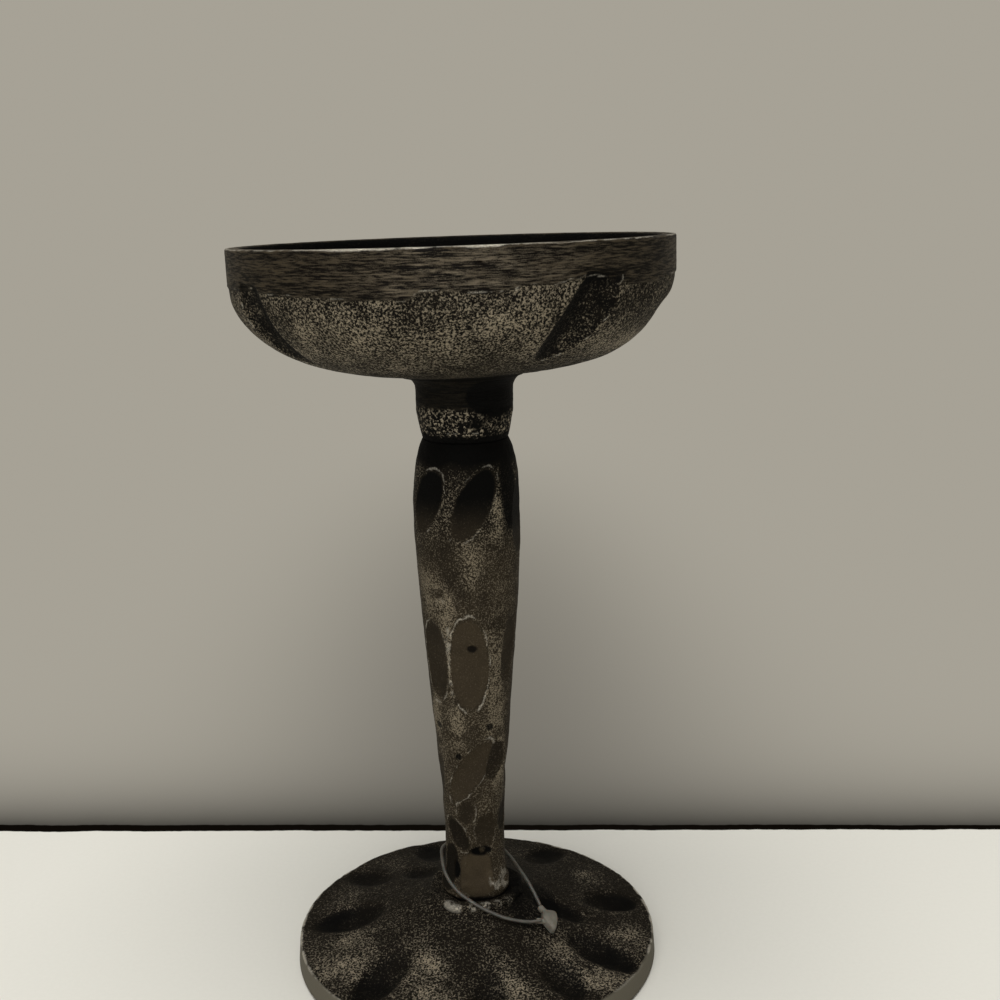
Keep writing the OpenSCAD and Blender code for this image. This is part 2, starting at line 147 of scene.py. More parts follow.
def grain(points, size, seed):
    # values from -1 to 1 on the corners of the cubes, blended with 6t^5 - 15t^4 + 10t^3
    table = np.random.default_rng(seed).uniform(-1, 1, tableSize)
    at, cell = cubes(points, size)
    f = at - cell
    f = f * f * f * (f * (f * 6 - 15) + 10)
    total = 0
    for corner in np.ndindex(2, 2, 2):
        share = np.prod(np.where(corner, f, 1 - f), axis=-1)
        total = total + table[tableRow(cell + np.array(corner))] * share
    return total


def layers(points, size, seed, count=3):
    # grain at this size and at halves of it, each half as strong
    return sum(grain(points, size / 2 ** k, seed + k) / 2 ** k for k in range(count)) / 1.5


def patches(points, look):
    # 0 to 1 in ragged patches; look is their size, the seed, and the layers' value at 0 and at 1
    size, seed, low, high = look
    return smooth(low, high, layers(points, size, seed))


def pits(points, size, seed):
    # distance to the nearest of one scattered point per cube, as a share of the cube
    jitter = np.random.default_rng(seed).uniform(0, 1, (tableSize, 3))
    at, cell = cubes(points, size)
    near = np.full(points.shape[:-1], 9.0)
    for step in np.ndindex(3, 3, 3):
        c = cell + np.array(step) - 1
        near = np.minimum(near, np.linalg.norm(c + jitter[tableRow(c)] - at, axis=-1))
    return near


def castSkin(points, skin):
    # waves, lumps and pits of sand-cast metal, each with its height, size and seed; then come
    # the lumps' layers and the pits' width as a share of their size
    (high, *waves), (small, *lumps), (deep, size, seed, wide) = skin
    hole = smooth(wide, 0.12, pits(points, size, seed))
    return high * layers(points, *waves) + small * layers(points, *lumps) - deep * hole


def moved(points, way, much):
    return points + way * much[..., None]


def softCut(depth, width):
    # depth where it is above zero and nothing below, with the corner rounded over width
    return (depth + np.sqrt(depth * depth + width * width)) / 2


def facing(azimuth):
    # outward and sideways directions at an azimuth, counted from the front towards +X
    a = math.radians(azimuth - 90)
    return np.array([math.cos(a), math.sin(a), 0]), np.array([-math.sin(a), math.cos(a), 0])


def turnTo(azimuth, centre):
    # difference of azimuths in degrees, from -180 to 180
    return (azimuth - centre + 180) % 360 - 180


def radiusOf(points):
    return np.hypot(points[..., 0], points[..., 1])


def wayOut(azimuth, level, patch):
    # how far out of an oval patch, 1 at its edge: patch is its azimuth, its level, which is a
    # height or a radius, and its half size in each
    return np.hypot(turnTo(azimuth, patch[0]) / patch[2], (level - patch[1]) / patch[3])


def spot(azimuth, level, patch):
    return smooth(1.15, 0.75, wayOut(azimuth, level, patch))


def haze(azimuth, level, patchRows):
    # the sum of patches that fade without an edge
    return sum(bell(wayOut(azimuth, level, patch), 0.85) for patch in patchRows)


def layRings(name, rings, loop, marks, body, node):
    # rings by columns, closed round, the last on the first or each end on a pole; marks become
    # point attributes, and one that is left out reads 0 in the materials
    count, columns = rings.shape[:2]
    number = np.arange(count * columns).reshape(count, columns)
    flat = rings.reshape(-1, 3)
    fans = np.zeros((0, 3), int)
    if loop:
        number = np.vstack([number, number[:1]])
    else:
        first, last = count * columns, count * columns + 1
        flat = np.vstack([flat, rings[0].mean(axis=0), rings[-1].mean(axis=0)])
        side = np.roll(np.arange(columns), -1)
        fans = np.vstack([
            np.stack([np.full(columns, first), side, np.arange(columns)], axis=1),
            np.stack([np.full(columns, last), number[-1], number[-1][side]], axis=1)])
    a, b = number[:-1], number[1:]
    quads = np.stack([a, np.roll(a, -1, axis=1), np.roll(b, -1, axis=1), b], axis=-1)
    quads = quads.reshape(-1, 4)
    # faces turn outwards when the volume they enclose is positive
    p, q, r, s = np.moveaxis(flat[quads], 1, 0)
    if np.sum(p * (np.cross(q, r) + np.cross(r, s))) < 0:
        quads, fans = quads[:, ::-1], fans[:, ::-1]
    mesh = bpy.data.meshes.new(name)
    mesh.from_pydata((flat * mm).tolist(), [], quads.tolist() + fans.tolist())
    mesh.polygons.foreach_set("use_smooth", np.ones(len(mesh.polygons), bool))
    for mark, values in marks.items():
        values = np.broadcast_to(values, rings.shape[:2]).ravel()
        if not loop:
            values = np.append(values, [values[0], values[-1]])
        layer = mesh.attributes.new(mark, "FLOAT", "POINT")
        layer.data.foreach_set("value", values.astype(np.float32))
    piece = bpy.data.objects.new(name, mesh)
    bpy.context.scene.collection.objects.link(piece)
    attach(piece, body)
    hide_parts(node)
    print("laid", name, len(flat), "points")
    return piece


def mathNode(operation, swapped=False):
    # a method of Wire that adds one Math node for itself and another wire or number
    def add(wire, other):
        return wire.math(operation, *((other, wire) if swapped else (wire, other)))
    return add


class Wire:
    # a node's output; arithmetic on wires and numbers adds Math nodes
    __add__ = __radd__ = mathNode("ADD")
    __mul__ = __rmul__ = mathNode("MULTIPLY")
    __sub__, __rsub__ = mathNode("SUBTRACT"), mathNode("SUBTRACT", True)
    most = mathNode("MAXIMUM")

    def __init__(self, finish, output):
        self.finish, self.output = finish, output

    def also(self, key):
        # another output of the same node
        return Wire(self.finish, self.output.node.outputs[key])

    def math(self, operation, *values, clamp=False):
        settings = {"operation": operation, "use_clamp": clamp}
        return self.finish.node("Math", settings, dict(enumerate(values)))

    def exp(self):
        return self.math("EXPONENT", self)

    def clip(self):
        return self.math("ADD", self, 0.0, clamp=True)

    def between(self, low, high):
        # 0 at low and 1 at high, smooth between
        return self.finish.node("MapRange", {"interpolation_type": "SMOOTHSTEP"},
                                {"Value": self, "From Min": low, "From Max": high})


class Finish:
    # the nodes of one material or world; every node in it comes from node()
    def __init__(self, owner):
        owner.use_nodes = True
        self.owner, self.tree = owner, owner.node_tree
        self.tree.nodes.clear()

    def node(self, kind, settings, sockets, out=0):
        made = self.tree.nodes.new("ShaderNode" + kind)
        for key, value in settings.items():
            setattr(made, key, value)
        for key, value in sockets.items():
            if isinstance(value, Wire):
                self.tree.links.new(value.output, made.inputs[key])
            else:
                made.inputs[key].default_value = value
        return Wire(self, made.outputs[out]) if made.outputs else None

    def mark(self, name):
        return self.node("Attribute", {"attribute_name": name}, {}, "Fac")

    def place(self):
        return self.node("TexCoord", {}, {}, "Object")

    def noise(self, size, detail=2.0, rough=0.5, warp=0.0):
        # size in metres, one for all axes or one for each
        shares = 1 / np.broadcast_to(size, 3)
        place = self.node("VectorMath", {"operation": "MULTIPLY"},
                          {0: self.place(), 1: shares.tolist()})
        return self.node("TexNoise", {}, {"Vector": place, "Scale": 1.0, "Detail": detail,
                                          "Roughness": rough, "Distortion": warp})

    def blend(self, share, a, b):
        tones = {key: value if isinstance(value, Wire) else (*value, 1.0)
                 for key, value in ((6, a), (7, b))}
        return self.node("Mix", {"data_type": "RGBA"}, {0: share, **tones}, 2)

    def surface(self, colour, roughness, metallic, height, lift, fixed):
        # lift is the bump's distance in metres; fixed are sockets set to a constant
        bump = self.node("Bump", {}, {"Height": height, "Distance": lift})
        shader = self.node("BsdfPrincipled", {}, {
            "Base Color": colour, "Roughness": roughness, "Metallic": metallic, **fixed,
            "Normal": bump})
        self.node("OutputMaterial", {}, {"Surface": shader})
        return self.owner


# Camera at the photograph's angle: focal length as a share of the picture's width, place in mm,
# angles in degrees, clipping in metres
camera = Values(
    focal=1.2559, place=(0, -375.95, 238.35), down=13.008, turn=1.549,
    roll=-1.026, near=0.01, far=50)


def setCamera(c):
    # rolls the picture about its own middle, then looks down and turns by the given angles
    down, turn, roll = (math.radians(a) for a in (c.down, c.turn, c.roll))
    data = bpy.data.cameras.new("camera")
    data.lens = c.focal * data.sensor_width
    data.clip_start, data.clip_end = c.near, c.far
    seen = bpy.data.objects.new("camera", data)
    seen.matrix_world = (
        Matrix.Translation(Vector(c.place) * mm) @ Matrix.Rotation(-turn, 4, "Z")
        @ Matrix.Rotation(math.pi / 2 - down, 4, "X") @ Matrix.Rotation(roll, 4, "Z"))
    bpy.context.scene.collection.objects.link(seen)
    bpy.context.scene.camera = seen


setCamera(camera)
print("camera set")


# Nylon loop, lying on the foot and leaning on the stem
loop = Values(
    thick=1.1, sides=14, steps=6,
    # the route of the part's own loop, in millimetres from the middle of the foot's seat
    route=[
        [20.6, -16.9, -3.3], [17.7, -17.5, -3.3], [14.7, -17.8, -2.9], [11.7, -17.8, -2.3],
        [8.7, -17.6, -1.5], [5.9, -17.2, -0.4], [3.1, -16.7, 0.8], [0.3, -16, 2.1],
        [-2.2, -15.1, 3.5], [-4.7, -14, 4.9], [-6.8, -12.6, 6.5], [-8.5, -10.9, 8.2],
        [-9.8, -8.7, 10], [-10.5, -6.2, 11.5], [-10.8, -3.5, 12.6], [-11, -0.7, 13],
        [-10.8, 2.3, 12.8], [-9.9, 5.2, 12.3], [-8.3, 7.6, 11.9], [-6, 9.5, 11.6],
        [-3.4, 10.8, 11.4], [-0.6, 11.4, 11.1], [2.2, 11.5, 10.7], [4.9, 10.9, 10.1],
        [7.4, 9.7, 9.3], [9.5, 8, 8.3], [11.3, 5.9, 7.2], [12.8, 3.5, 6.2], [14.2, 1, 5.2],
        [15.6, -1.4, 4.1], [17, -3.7, 2.8], [18.2, -5.8, 1.3], [19.4, -7.9, -0.4],
        [20.5, -10, -2.1]])


def throughPoints(points, steps):
    # Catmull-Rom: each stretch bends with its neighbours and passes through every point
    p = np.vstack([2 * points[0] - points[1], points, 2 * points[-1] - points[-2]])
    t = np.linspace(0, 1, steps, endpoint=False)[None, :, None]
    a, b, c, d = (p[k:len(p) - 3 + k, None] for k in range(4))
    bent = 0.5 * (2 * b + (c - a) * t + (2 * a - 5 * b + 4 * c - d) * t ** 2
                  + (3 * b - a - 3 * c + d) * t ** 3)
    return np.vstack([bent.reshape(-1, points.shape[1]), points[-1:]])


def tubeRings(path, radius, sides):
    # a circle carried along the path and square to it
    way = np.gradient(path, axis=0)
    way /= np.linalg.norm(way, axis=1)[:, None]
    side = np.cross(way, upright)
    side /= np.linalg.norm(side, axis=1)[:, None]
    over = np.cross(side, way)
    turn = np.linspace(0, 2 * np.pi, sides, endpoint=False)[None, :, None]
    radius = np.broadcast_to(radius, len(path))[:, None, None]
    return path[:, None] + radius * (side[:, None] * np.cos(turn) + over[:, None] * np.sin(turn))


loopPath = throughPoints(np.array(loop.route), loop.steps) + [0, 0, seatHeight]
loopRings = tubeRings(loopPath, loop.thick / 2, loop.sides)
tagLoop = layRings("nylonLoop", loopRings, False, {}, "tag", "tag_loop")


# Dish and neck, in mm over the neck's foot, azimuths in degrees from the front towards +X
dish = Values(
    columns=624, radius=65.3, height=37.5, wall=4.2, floor=6.0, seat=37.5,
    flat=21.0, foot=27.0, rim=0.45, soften=0.13, neck=21.0, pole=0.3,
    bore=3.05, boreTop=16.5, fillet=4.2, filletDrop=6.0, nose=13.5,
    neckLine=[[12.8, 0], [13, 0.15], [13.68, 2.94], [14.7, 8.4], [14.7, 14]],
    # the flat underside, counted from its own height
    flatLine=[[18.9, -1.8], [20.3, -1.1], [22.2, -0.5], [24.6, -0.05], [27, 0.28]],
    # how askew it sits on the neck, and the radii between which that is eased in
    shift=-2.1, tilt=0.9, eased=(14.7, 24),
    # fuller and flatter places: by how much, azimuth, half width, height, half height
    swell=[[0.8, 90, 38, 4.5, 5], [-1.4, 80, 17, 16.5, 5]],
    # gouges: azimuth at the top, drift in mm per mm of height, top, depth at the top, depth and
    # which side gets painted shade
    gouges=[[-57, -0.05, 28.3, 1.3, 2.4, 1], [37, 0.45, 29.4, 1.9, 3.1, -1],
        [81, 0.05, 26.5, 0.3, 3.4, 1], [140, 0.2, 26.5, 0.4, 2.2, -1],
        [192, -0.1, 26, 0.4, 2.2, 1], [246, 0.1, 26.5, 0.4, 2.2, -1]],
    # lower edge of the turned band: azimuth and height over the dish's underside
    edge=[[-180, 25.2], [-150, 26.4], [-120, 25.5], [-90, 26.8], [-70, 26.6], [-47, 26.3],
        [-36, 25.6], [-26, 25.2], [-18, 24.9], [-10, 24.4], [-6.5, 26.9], [-3, 27.1],
        [4, 26.1], [9, 25.8], [16, 27.3], [24, 27.4], [31, 28.6], [44, 26.2], [54, 25.3],
        [75, 27.2], [100, 26.6], [125, 25.3], [150, 26.3], [180, 25.2]],
    skin=((0.12, 7.0, 11), (0.05, 1.5, 16, 2), (0.11, 2.6, 20, 0.42)),
    # oval patches, as in wayOut
    smear=(42, 14, 48, 7), stain=(28, 6.2, 26, 2.9),
    # full: patches of painted light on the belly
    full=[(16, 23, 22, 9), (-33, 15, 14, 7)],
    # painted highlights along the rim: azimuth, where it starts and where it is full
    glints=[[-19, 15, 6], [7, 6, 2]],
    # ragged looks, as in patches
    chipLine=(3.5, 93, -0.1, 0.5), chips=(2.2, 91, 0.2, 0.7), nicks=(6.5, 61, 0.25, 0.8),
    gougeShadeSpots=(2.6, 78, -0.25, 0.15), brokenEdge=(2.5, 75, -0.3, 0.3),
    brokenShelf=(1.6, 77, -0.1, 0.4), bandGlint=(6, 81, -0.7, 0.2),
    rimGlint=(3.2, 83, -0.9, 0.3), smearGaps=(5, 87, -1.3, -0.6),
    stainGaps=(3, 97, -0.5, 0.3))


def dishOutside(d, count=160):
    return bezier([d.flat, 0], [d.radius * 0.779, d.foot * 0.022],
                  [d.radius, d.foot * 0.572], [d.radius, d.foot], count)


def dishProfile(d):
    up, radius, inner = d.neck, d.radius, d.radius - d.wall
    rise = d.foot - d.floor
    hollow = bezier([inner, d.foot], [inner, d.floor + rise * 0.58],
                    [inner * 0.77, d.floor + rise * 0.09], [d.seat, d.floor])
    top, lip = d.height + up, d.height + up - d.rim
    outside = dishOutside(d)
    flatLine = np.array(d.flatLine) + [0, up]
    bore, neckLine, soften = d.bore, d.neckLine, d.soften
    fillet = np.stack([neckLine[-1][0] + d.fillet * (1 - np.cos(quarter)),
                       up - d.filletDrop + d.fillet * np.sin(quarter)], axis=1)
    return outline([
        ("bore", [[d.pole, d.boreTop], [bore, d.boreTop], [bore, 0]], 4),
        ("under", [[bore, 0], neckLine[0]], 3),
        ("neck", np.vstack([neckLine, fillet]), 32),
        ("flat", flatLine, 8),
        ("belly", outside[outside[:, 0] > flatLine[-1][0] + 0.3] + [0, up], 60),
        ("band", [[radius, d.foot + up], [radius, lip]], 16),
        ("rim", [[radius, lip], [radius - soften, top - soften], [radius - d.rim, top],
                 [inner + d.rim, top], [inner + soften, top - soften], [inner, lip]], 10),
        ("inside", np.vstack([[[inner, lip]], hollow + [0, up]]), 24),
        ("seat", [[d.seat, d.floor + up], [d.pole, d.floor + up]], 6)], False)


def gouge(points, d, azimuth, drift, top, ledge, depth):
    # how far points stand out past a round nose carried along an upright arc, how far aside
    # they are, and the way back to the arc's centre
    out, side = facing(azimuth)
    line = dishOutside(d, 101)
    low, mid, high = line[34], line[68], np.array([d.radius - ledge, top])
    chord = high - low
    way = chord / np.linalg.norm(chord)
    normal = np.array([way[1], -way[0]])
    rise = (mid - low) @ normal - depth
    arc = chord @ chord / (8 * rise) + rise / 2
    centre = (low + high) / 2 - normal * (arc - rise)
    u, h = points @ out - centre[0], points[..., 2] - centre[1]
    t = points @ side - drift * (points[..., 2] - top)
    nose = d.nose
    reach = np.hypot(u, h)
    cut = reach - (arc + nose - np.sqrt(most(nose ** 2 - t ** 2, 0)))
    cut = np.where((np.abs(t) < nose - 0.5) & (points @ out > 0), cut, clear)
    back = (u[..., None] * out + h[..., None] * upright) / reach[..., None]
    return cut, t, back


def makeDish(d):
    profile, part = dishProfile(d)
    points, normal, azimuth = turnedBody(profile, False, d.columns)
    outer, inner = rowsOf(part, "belly", "band"), rowsOf(part, "inside", "seat")
    neck, flat, rim = rowsOf(part, "neck"), rowsOf(part, "flat"), rowsOf(part, "rim")
    h, z = points[..., 2] - d.neck, points[..., 2]
    rough = layers(points, 3.0, 31)
    # height over the lower edge of the turned band
    over = h - (np.interp(azimuth, *np.array(d.edge).T) + 0.35 * layers(points, 5, 40)
                + 0.3 * grain(points, 1.3, 43))
    turned = np.where(rim, 1.0, outer * smooth(-0.25, 0.25, over))
    # a darkened, slightly sunken line of chips just under the band, with painted shadow under the
    # band's step
    under = outer * bell(over + 0.7, 0.6) * patches(points, d.chipLine)
    # the neck is rough below and turned above
    neckRough = neck * smooth(10.9, 9.9, z + 0.9 * rough)
    # the outer corner of the rim, and nicks along it
    corner = ((outer | rim) * bell(h - d.height, 0.4)
              * smooth(2.2, 0.3, d.radius - radiusOf(points)))
    nicks = patches(points, d.nicks) + 0.6 * smooth(0.45, 0.8, grain(points, 2.4, 64))
    # cast skin with a step below the band, fuller and flatter places, turning marks, chips, the
    # neck's rough and turned parts, rings inside, nicks
    swell = sum(much * bell(turnTo(azimuth, at), wide) * bell(h - level, tall)
                for much, at, wide, level, tall in d.swell)
    step = 0.42 * smooth(-6, -0.4, over) * (over < 0)
    lift = ((outer | flat) * (1 - turned) * (castSkin(points, d.skin) - step)
            + outer * swell
            + turned * 0.035 * layers(points * [0.2, 0.2, 1.6], 1.0, 47)
            - 0.25 * under
            + neckRough * (0.12 * layers(points, 2.2, 51, 2) - 0.05)
            + neck * (1 - neckRough) * 0.05 * layers(points * [0.15, 0.15, 1.4], 1.2, 53)
            + inner * 0.05 * layers(points, 5, 57) * smooth(1, 8, radiusOf(points))
            - 0.4 * nicks * corner)
    points = moved(points, normal, lift)
    # gouges, stopped by a ledge under the band
    local = points - [0, 0, d.neck]
    wobble, ragged, drawn = (
        layers(local, size, seed) for size, seed in ((4, 71), (3, 73), (5, 74)))
    gougeShadeSpots, brokenEdge, brokenShelf = (
        patches(local, d[k]) for k in ("gougeShadeSpots", "brokenEdge", "brokenShelf"))
    hollow, shade, wearAndGlint = (np.zeros(h.shape) for _ in range(3))
    for azimuthTop, drift, top, ledge, depth, dark in d.gouges:
        cut, t, back = gouge(local, d, azimuthTop, drift, top, ledge, depth)
        cut = cut + 0.12 * wobble
        past = local[..., 2] - top
        stop = outer * smooth(0.3, -0.3, past + 0.06 * t - 0.6 * ragged)
        points = moved(points, back, -softCut(cut, 0.12) * stop)
        inside = smooth(0.02, 0.4, cut) * stop
        hollow = most(hollow, inside)
        # painted shade on one side and in spots; the other side's edge and the ledge are rubbed
        # bright, partly as painted highlight
        sided = smooth(-2.4, 1.2, t * dark + 1.6 * drawn - 0.06 * past)
        shade = most(shade, inside * most(sided, 0.8 * gougeShadeSpots))
        edges = 1.6 * bell(cut - 0.02, 0.25) * stop * brokenEdge * smooth(2, -4, t * dark)
        shelf = bell(past - 0.3, 0.25) * smooth(6.6, 5.6, np.abs(t)) * brokenShelf
        wearAndGlint = most(wearAndGlint, outer * (0.5 * edges + 0.65 * shelf * (ledge > 0.3)))
    z, radius = points[..., 2], radiusOf(points)
    # painted highlights: the gouges' edges and ledges, partly worn, bits of the band's lower edge
    # and the rim; worn bright: the joint's white line
    bandGlint = 0.62 * outer * bell(over - 0.15, 0.34) * patches(points, d.bandGlint)
    front = [smooth(wide, full, np.abs(turnTo(azimuth, at))) for at, wide, full in d.glints]
    front = 0.42 + 0.58 * most(*front, 0.8 * smooth(70, 110, np.abs(azimuth)))
    rimGlint = (corner * (0.5 + 0.5 * front) * patches(points, d.rimGlint)
                + rim * (front - 0.4) * (0.6 + 0.4 * layers(points, 3, 85)))
    jointLine = 0.75 * neck * bell(z - 3.0, 0.4) * smooth(-0.2, 0.4, rough)
    wearAndGlint = np.clip(most(wearAndGlint, bandGlint, rimGlint, jointLine), 0, 1)
    # soot and painted shade: painted shade on the turned neck and the underside, under the dish, a
    # smear and a stain, the dark joint, painted shade on the inside; then more of it in the chips,
    # as painted shadow under the band's step, and as painted shade in the gouges
    chips = outer * patches(points, d.chips) * smooth(2.6, 0.2, over) * (over > 0)
    soot = most(
        (0.78 * (neck | flat) + 0.95 * rowsOf(part, "under", "bore")) * (1 - neckRough),
        neck * spot(azimuth, z, d.smear) * patches(points, d.smearGaps),
        0.85 * neck * spot(azimuth, z, d.stain) * patches(points, d.stainGaps),
        0.97 * neck * smooth(2.6, 1.7, z + 0.6 * rough),
        inner * (0.55 + 0.37 * smooth(8, 16, h)))
    soot = soot + 0.75 * most(chips, 0.55 * under) + 0.25 * hollow + 0.62 * shade
    # light specks where it is cast, more of them towards the belly's middle and top and in two
    # patches as painted light; where it is turned, the same mark is a painted sheen at the front
    full = 0.22 * haze(azimuth, h, d.full) + 0.2 * bell(h - 8, 5)
    speckAndSheen = np.where(outer, 0.52 + 0.23 * smooth(1, 12, h) + full, np.where(inner, 0.5, 0.12))
    sheen = bell(turnTo(azimuth, 5), 24) * (0.6 + 0.5 * layers(points * [1, 1, 5], 7, 95))
    speckAndSheen = (speckAndSheen * (1 - 0.25 * hollow) * (1 - turned) + outer * turned * np.clip(sheen, 0, 1))
    marks = {"turned": most(turned, 0.75 * neck * (1 - neckRough)), "speckAndSheen": speckAndSheen,
             "wearAndGlint": wearAndGlint, "soot": np.clip(soot, 0, 1), "mottle": neckRough}
    # the dish sits askew on its neck: tilted and shifted, eased in across the flat underside
    tilt = math.radians(d.tilt)
    turn = np.array([[math.cos(tilt), 0, -math.sin(tilt)], [0, 1, 0],
                     [math.sin(tilt), 0, math.cos(tilt)]])
    askew = (points - [0, 0, d.neck]) @ turn.T + [d.shift, 0, d.neck]
    share = np.where(inner | rim | rowsOf(part, "band"), 1.0, smooth(*d.eased, radius))
    placed = moved(points, askew - points, share) + [0, 0, jointHeight]
    return layRings("dish", placed, False, marks, "holder", "bowl")


# Stem, in mm over its seat
stem = Values(
    columns=228, height=150.5, top=13.0, shoulder=16.5, shoulderAt=126.0,
    ankle=9.5, ankleAt=22.0, foot=11.0, lip=4.0, lipCorner=1.2, bore=3.4,
    tenon=8.0, tenonDeep=4.0,
    # struck facets: azimuth, height, slant, half length and depth in mm, then how dark with soot
    # and painted shade, how brown and how worn at the edge
    facets=[
        [-49, 133.2, 17, 14.4, 1.1, 0.97, 0.2, 0.7], [8, 133.4, 22, 16.8, 1.15, 0.95, 0.3, 0.6],
        [77, 127.9, 4, 18.8, 1.16, 0.95, 0, 0.2], [128, 133.2, 12, 12.8, 1.02, 0.6, 0.2, 0.5],
        [182, 132.4, 15, 13.5, 1.09, 0.8, 0.2, 0.6], [-112, 130.9, 10, 12.8, 1.02, 0.6, 0.2, 0.5],
        [-52, 82, 0, 13.2, 0.99, 0.35, 0.7, 0.8], [-2, 82, 0, 16.3, 1.39, 0.15, 0.9, 0.8],
        [57, 84.3, 4, 12, 0.4, 0.08, 0.2, 0.2], [108, 81.3, 0, 15, 1.16, 0.3, 0.5, 0.7],
        [162, 82.8, -3, 14.3, 1.09, 0.4, 0.6, 0.8], [-142, 80.5, 0, 15, 1.16, 0.3, 0.5, 0.7],
        [-6, 45.2, 27, 11.6, 1.15, 0.2, 0.8, 0.8], [38, 48.9, 6, 6.8, 0.66, 0.4, 0.2, 0.5],
        [96, 46.7, 20, 10.5, 0.99, 0.3, 0.5, 0.6], [160, 43.6, 24, 10.8, 1.02, 0.35, 0.6, 0.7],
        [-134, 45.2, 22, 10.5, 0.99, 0.3, 0.5, 0.6], [-78, 40.6, 15, 9, 0.5, 0.2, 0.3, 0.3],
        [-16, 30.9, 8, 5.3, 0.56, 0.3, 0.3, 0.6], [-34, 22.6, -22, 5.3, 0.66, 0.6, 0.2, 0.7],
        [22, 24.8, 0, 6, 0.66, 0.2, 0.5, 0.5], [70, 28.6, 10, 6, 0.56, 0.4, 0.2, 0.4],
        [4, 10.5, 0, 7.5, 1.02, 0.1, 1, 0.4], [-58, 11.3, 8, 6.8, 0.83, 0.7, 0.1, 0.4],
        [125, 24.1, -12, 6, 0.59, 0.4, 0.2, 0.5], [-150, 25.6, 10, 6, 0.59, 0.4, 0.2, 0.5]],
    skin=((0.2, 11, 101), (0.07, 1.8, 104), (0.09, 2.2, 107, 0.4)),
    # oval patches, as in wayOut: light stretches, two pale scrapes, pinholes, a painted shade
    # under the dish; at the foot a corner and a recess darkened as painted shade, and a light lump
    light=[(34, 84, 20, 17), (36, 62, 20, 15), (46, 46, 16, 14), (33, 127, 11, 9),
        (3, 113, 16, 8), (-30, 101.7, 16, 5), (-27, 85, 9, 19), (-22, 62, 14, 8),
        (-52, 104, 20, 10), (-60, 62, 20, 12)],
    scrapes=[(-30, 101.6, 12, 2.7), (-27, 84, 6, 14)],
    pinholes=[(1.8, 86.9, 7, 1.3), (-24, 50.6, 6, 1.2), (27, 60.5, 7, 1.4), (-60, 60, 8, 1.3),
        (120, 66, 7, 1.3), (200, 104, 6, 1.2)],
    sootPatch=(52, 136, 15, 14), notch=(12, 17.2, 24, 1.9), recess=(-42, 10, 11, 3.2),
    lump=(47, 6.4, 27, 4.2),
    # the flat at the foot: azimuth, height, half width, half height, distance from the axis
    footFlat=(1, 9.6, 32, 6.8, 9.4),
    # ragged looks, as in patches
    lightGaps=(3, 123, -0.7, 0.2), scrapeGaps=(2, 125, -0.5, 0.3),
    notchGaps=(2, 127, -0.9, -0.1), lumpGaps=(1.8, 131, -0.7, 0.1))


def stemProfile(s):
    # the control points of its curves lie at shares of each stretch's height and widening
    ankle, ankleAt, lip, shoulderAt = s.ankle, s.ankleAt, s.lip, s.shoulderAt
    rise, long, last = ankleAt - lip, shoulderAt - ankleAt, s.height - shoulderAt
    wider, narrower = s.shoulder - ankle, s.shoulder - s.top
    foot = bezier([s.foot, lip], [s.foot * 0.88, lip + rise * 0.11],
                  [ankle, lip + rise * 0.2], [ankle, ankleAt])
    taper = bezier([ankle, ankleAt], [ankle + wider * 0.145, ankleAt + long * 0.22],
                   [ankle + wider * 0.97, ankleAt + long * 0.79], [s.shoulder, shoulderAt])
    shoulder = bezier([s.shoulder, shoulderAt],
                      [s.shoulder * 1.012, shoulderAt + last * 0.45],
                      [s.top + narrower * 0.63, shoulderAt + last * 0.815],
                      [s.top, s.height])
    side = np.vstack([foot, taper[1:], shoulder[1:]])
    bore, tenon, deep = s.bore, s.tenon, -s.tenonDeep
    profile = outline([
        ("tenon", [[bore, deep], [tenon, deep], [tenon, 0]], 5),
        ("lip", [[tenon, 0], [s.foot * 0.93, 0], [s.foot, s.lipCorner],
                 [s.foot, lip]], 14),
        ("side", side, 398),
        ("top", [[s.top, s.height], [bore, s.height]], 5),
        ("bore", [[bore, s.height], [bore, deep]], 5)], True)
    return profile, side


def spin(points, c, s):
    # turned about the upright axis by the angle with this cosine and sine
    x, y, z = np.moveaxis(points, -1, 0)
    return np.stack([c * x - s * y, s * x + c * y, z + 0 * c], axis=-1)


def struck(points, side, azimuth, height, slant, half, depth):
    # how far points stand out past a broad cylinder laid across the stem, and the way it cuts
    out = facing(azimuth)[0]
    radius, above, below = np.interp([height, height + 4, height - 4], side[:, 1], side[:, 0])
    lean = math.atan2(above - below, 8)
    way = math.cos(lean) * out - math.sin(lean) * upright
    along = math.sin(lean) * out + math.cos(lean) * upright
    # the cut creeps round the stem with height by tan(slant) mm per mm, so its oval leans
    creep = math.tan(math.radians(slant)) / radius * (points[..., 2] - height)
    c, s = np.cos(creep), np.sin(creep)
    off = spin(points, c, -s) - (radius * out + [0, 0, height])
    roll = half * half / (2 * depth)
    z = off @ along
    floor = roll - depth - np.sqrt(most(roll ** 2 - z ** 2, 0))
    return np.where(np.abs(z) < roll, off @ way - floor, clear), spin(way, c, s)


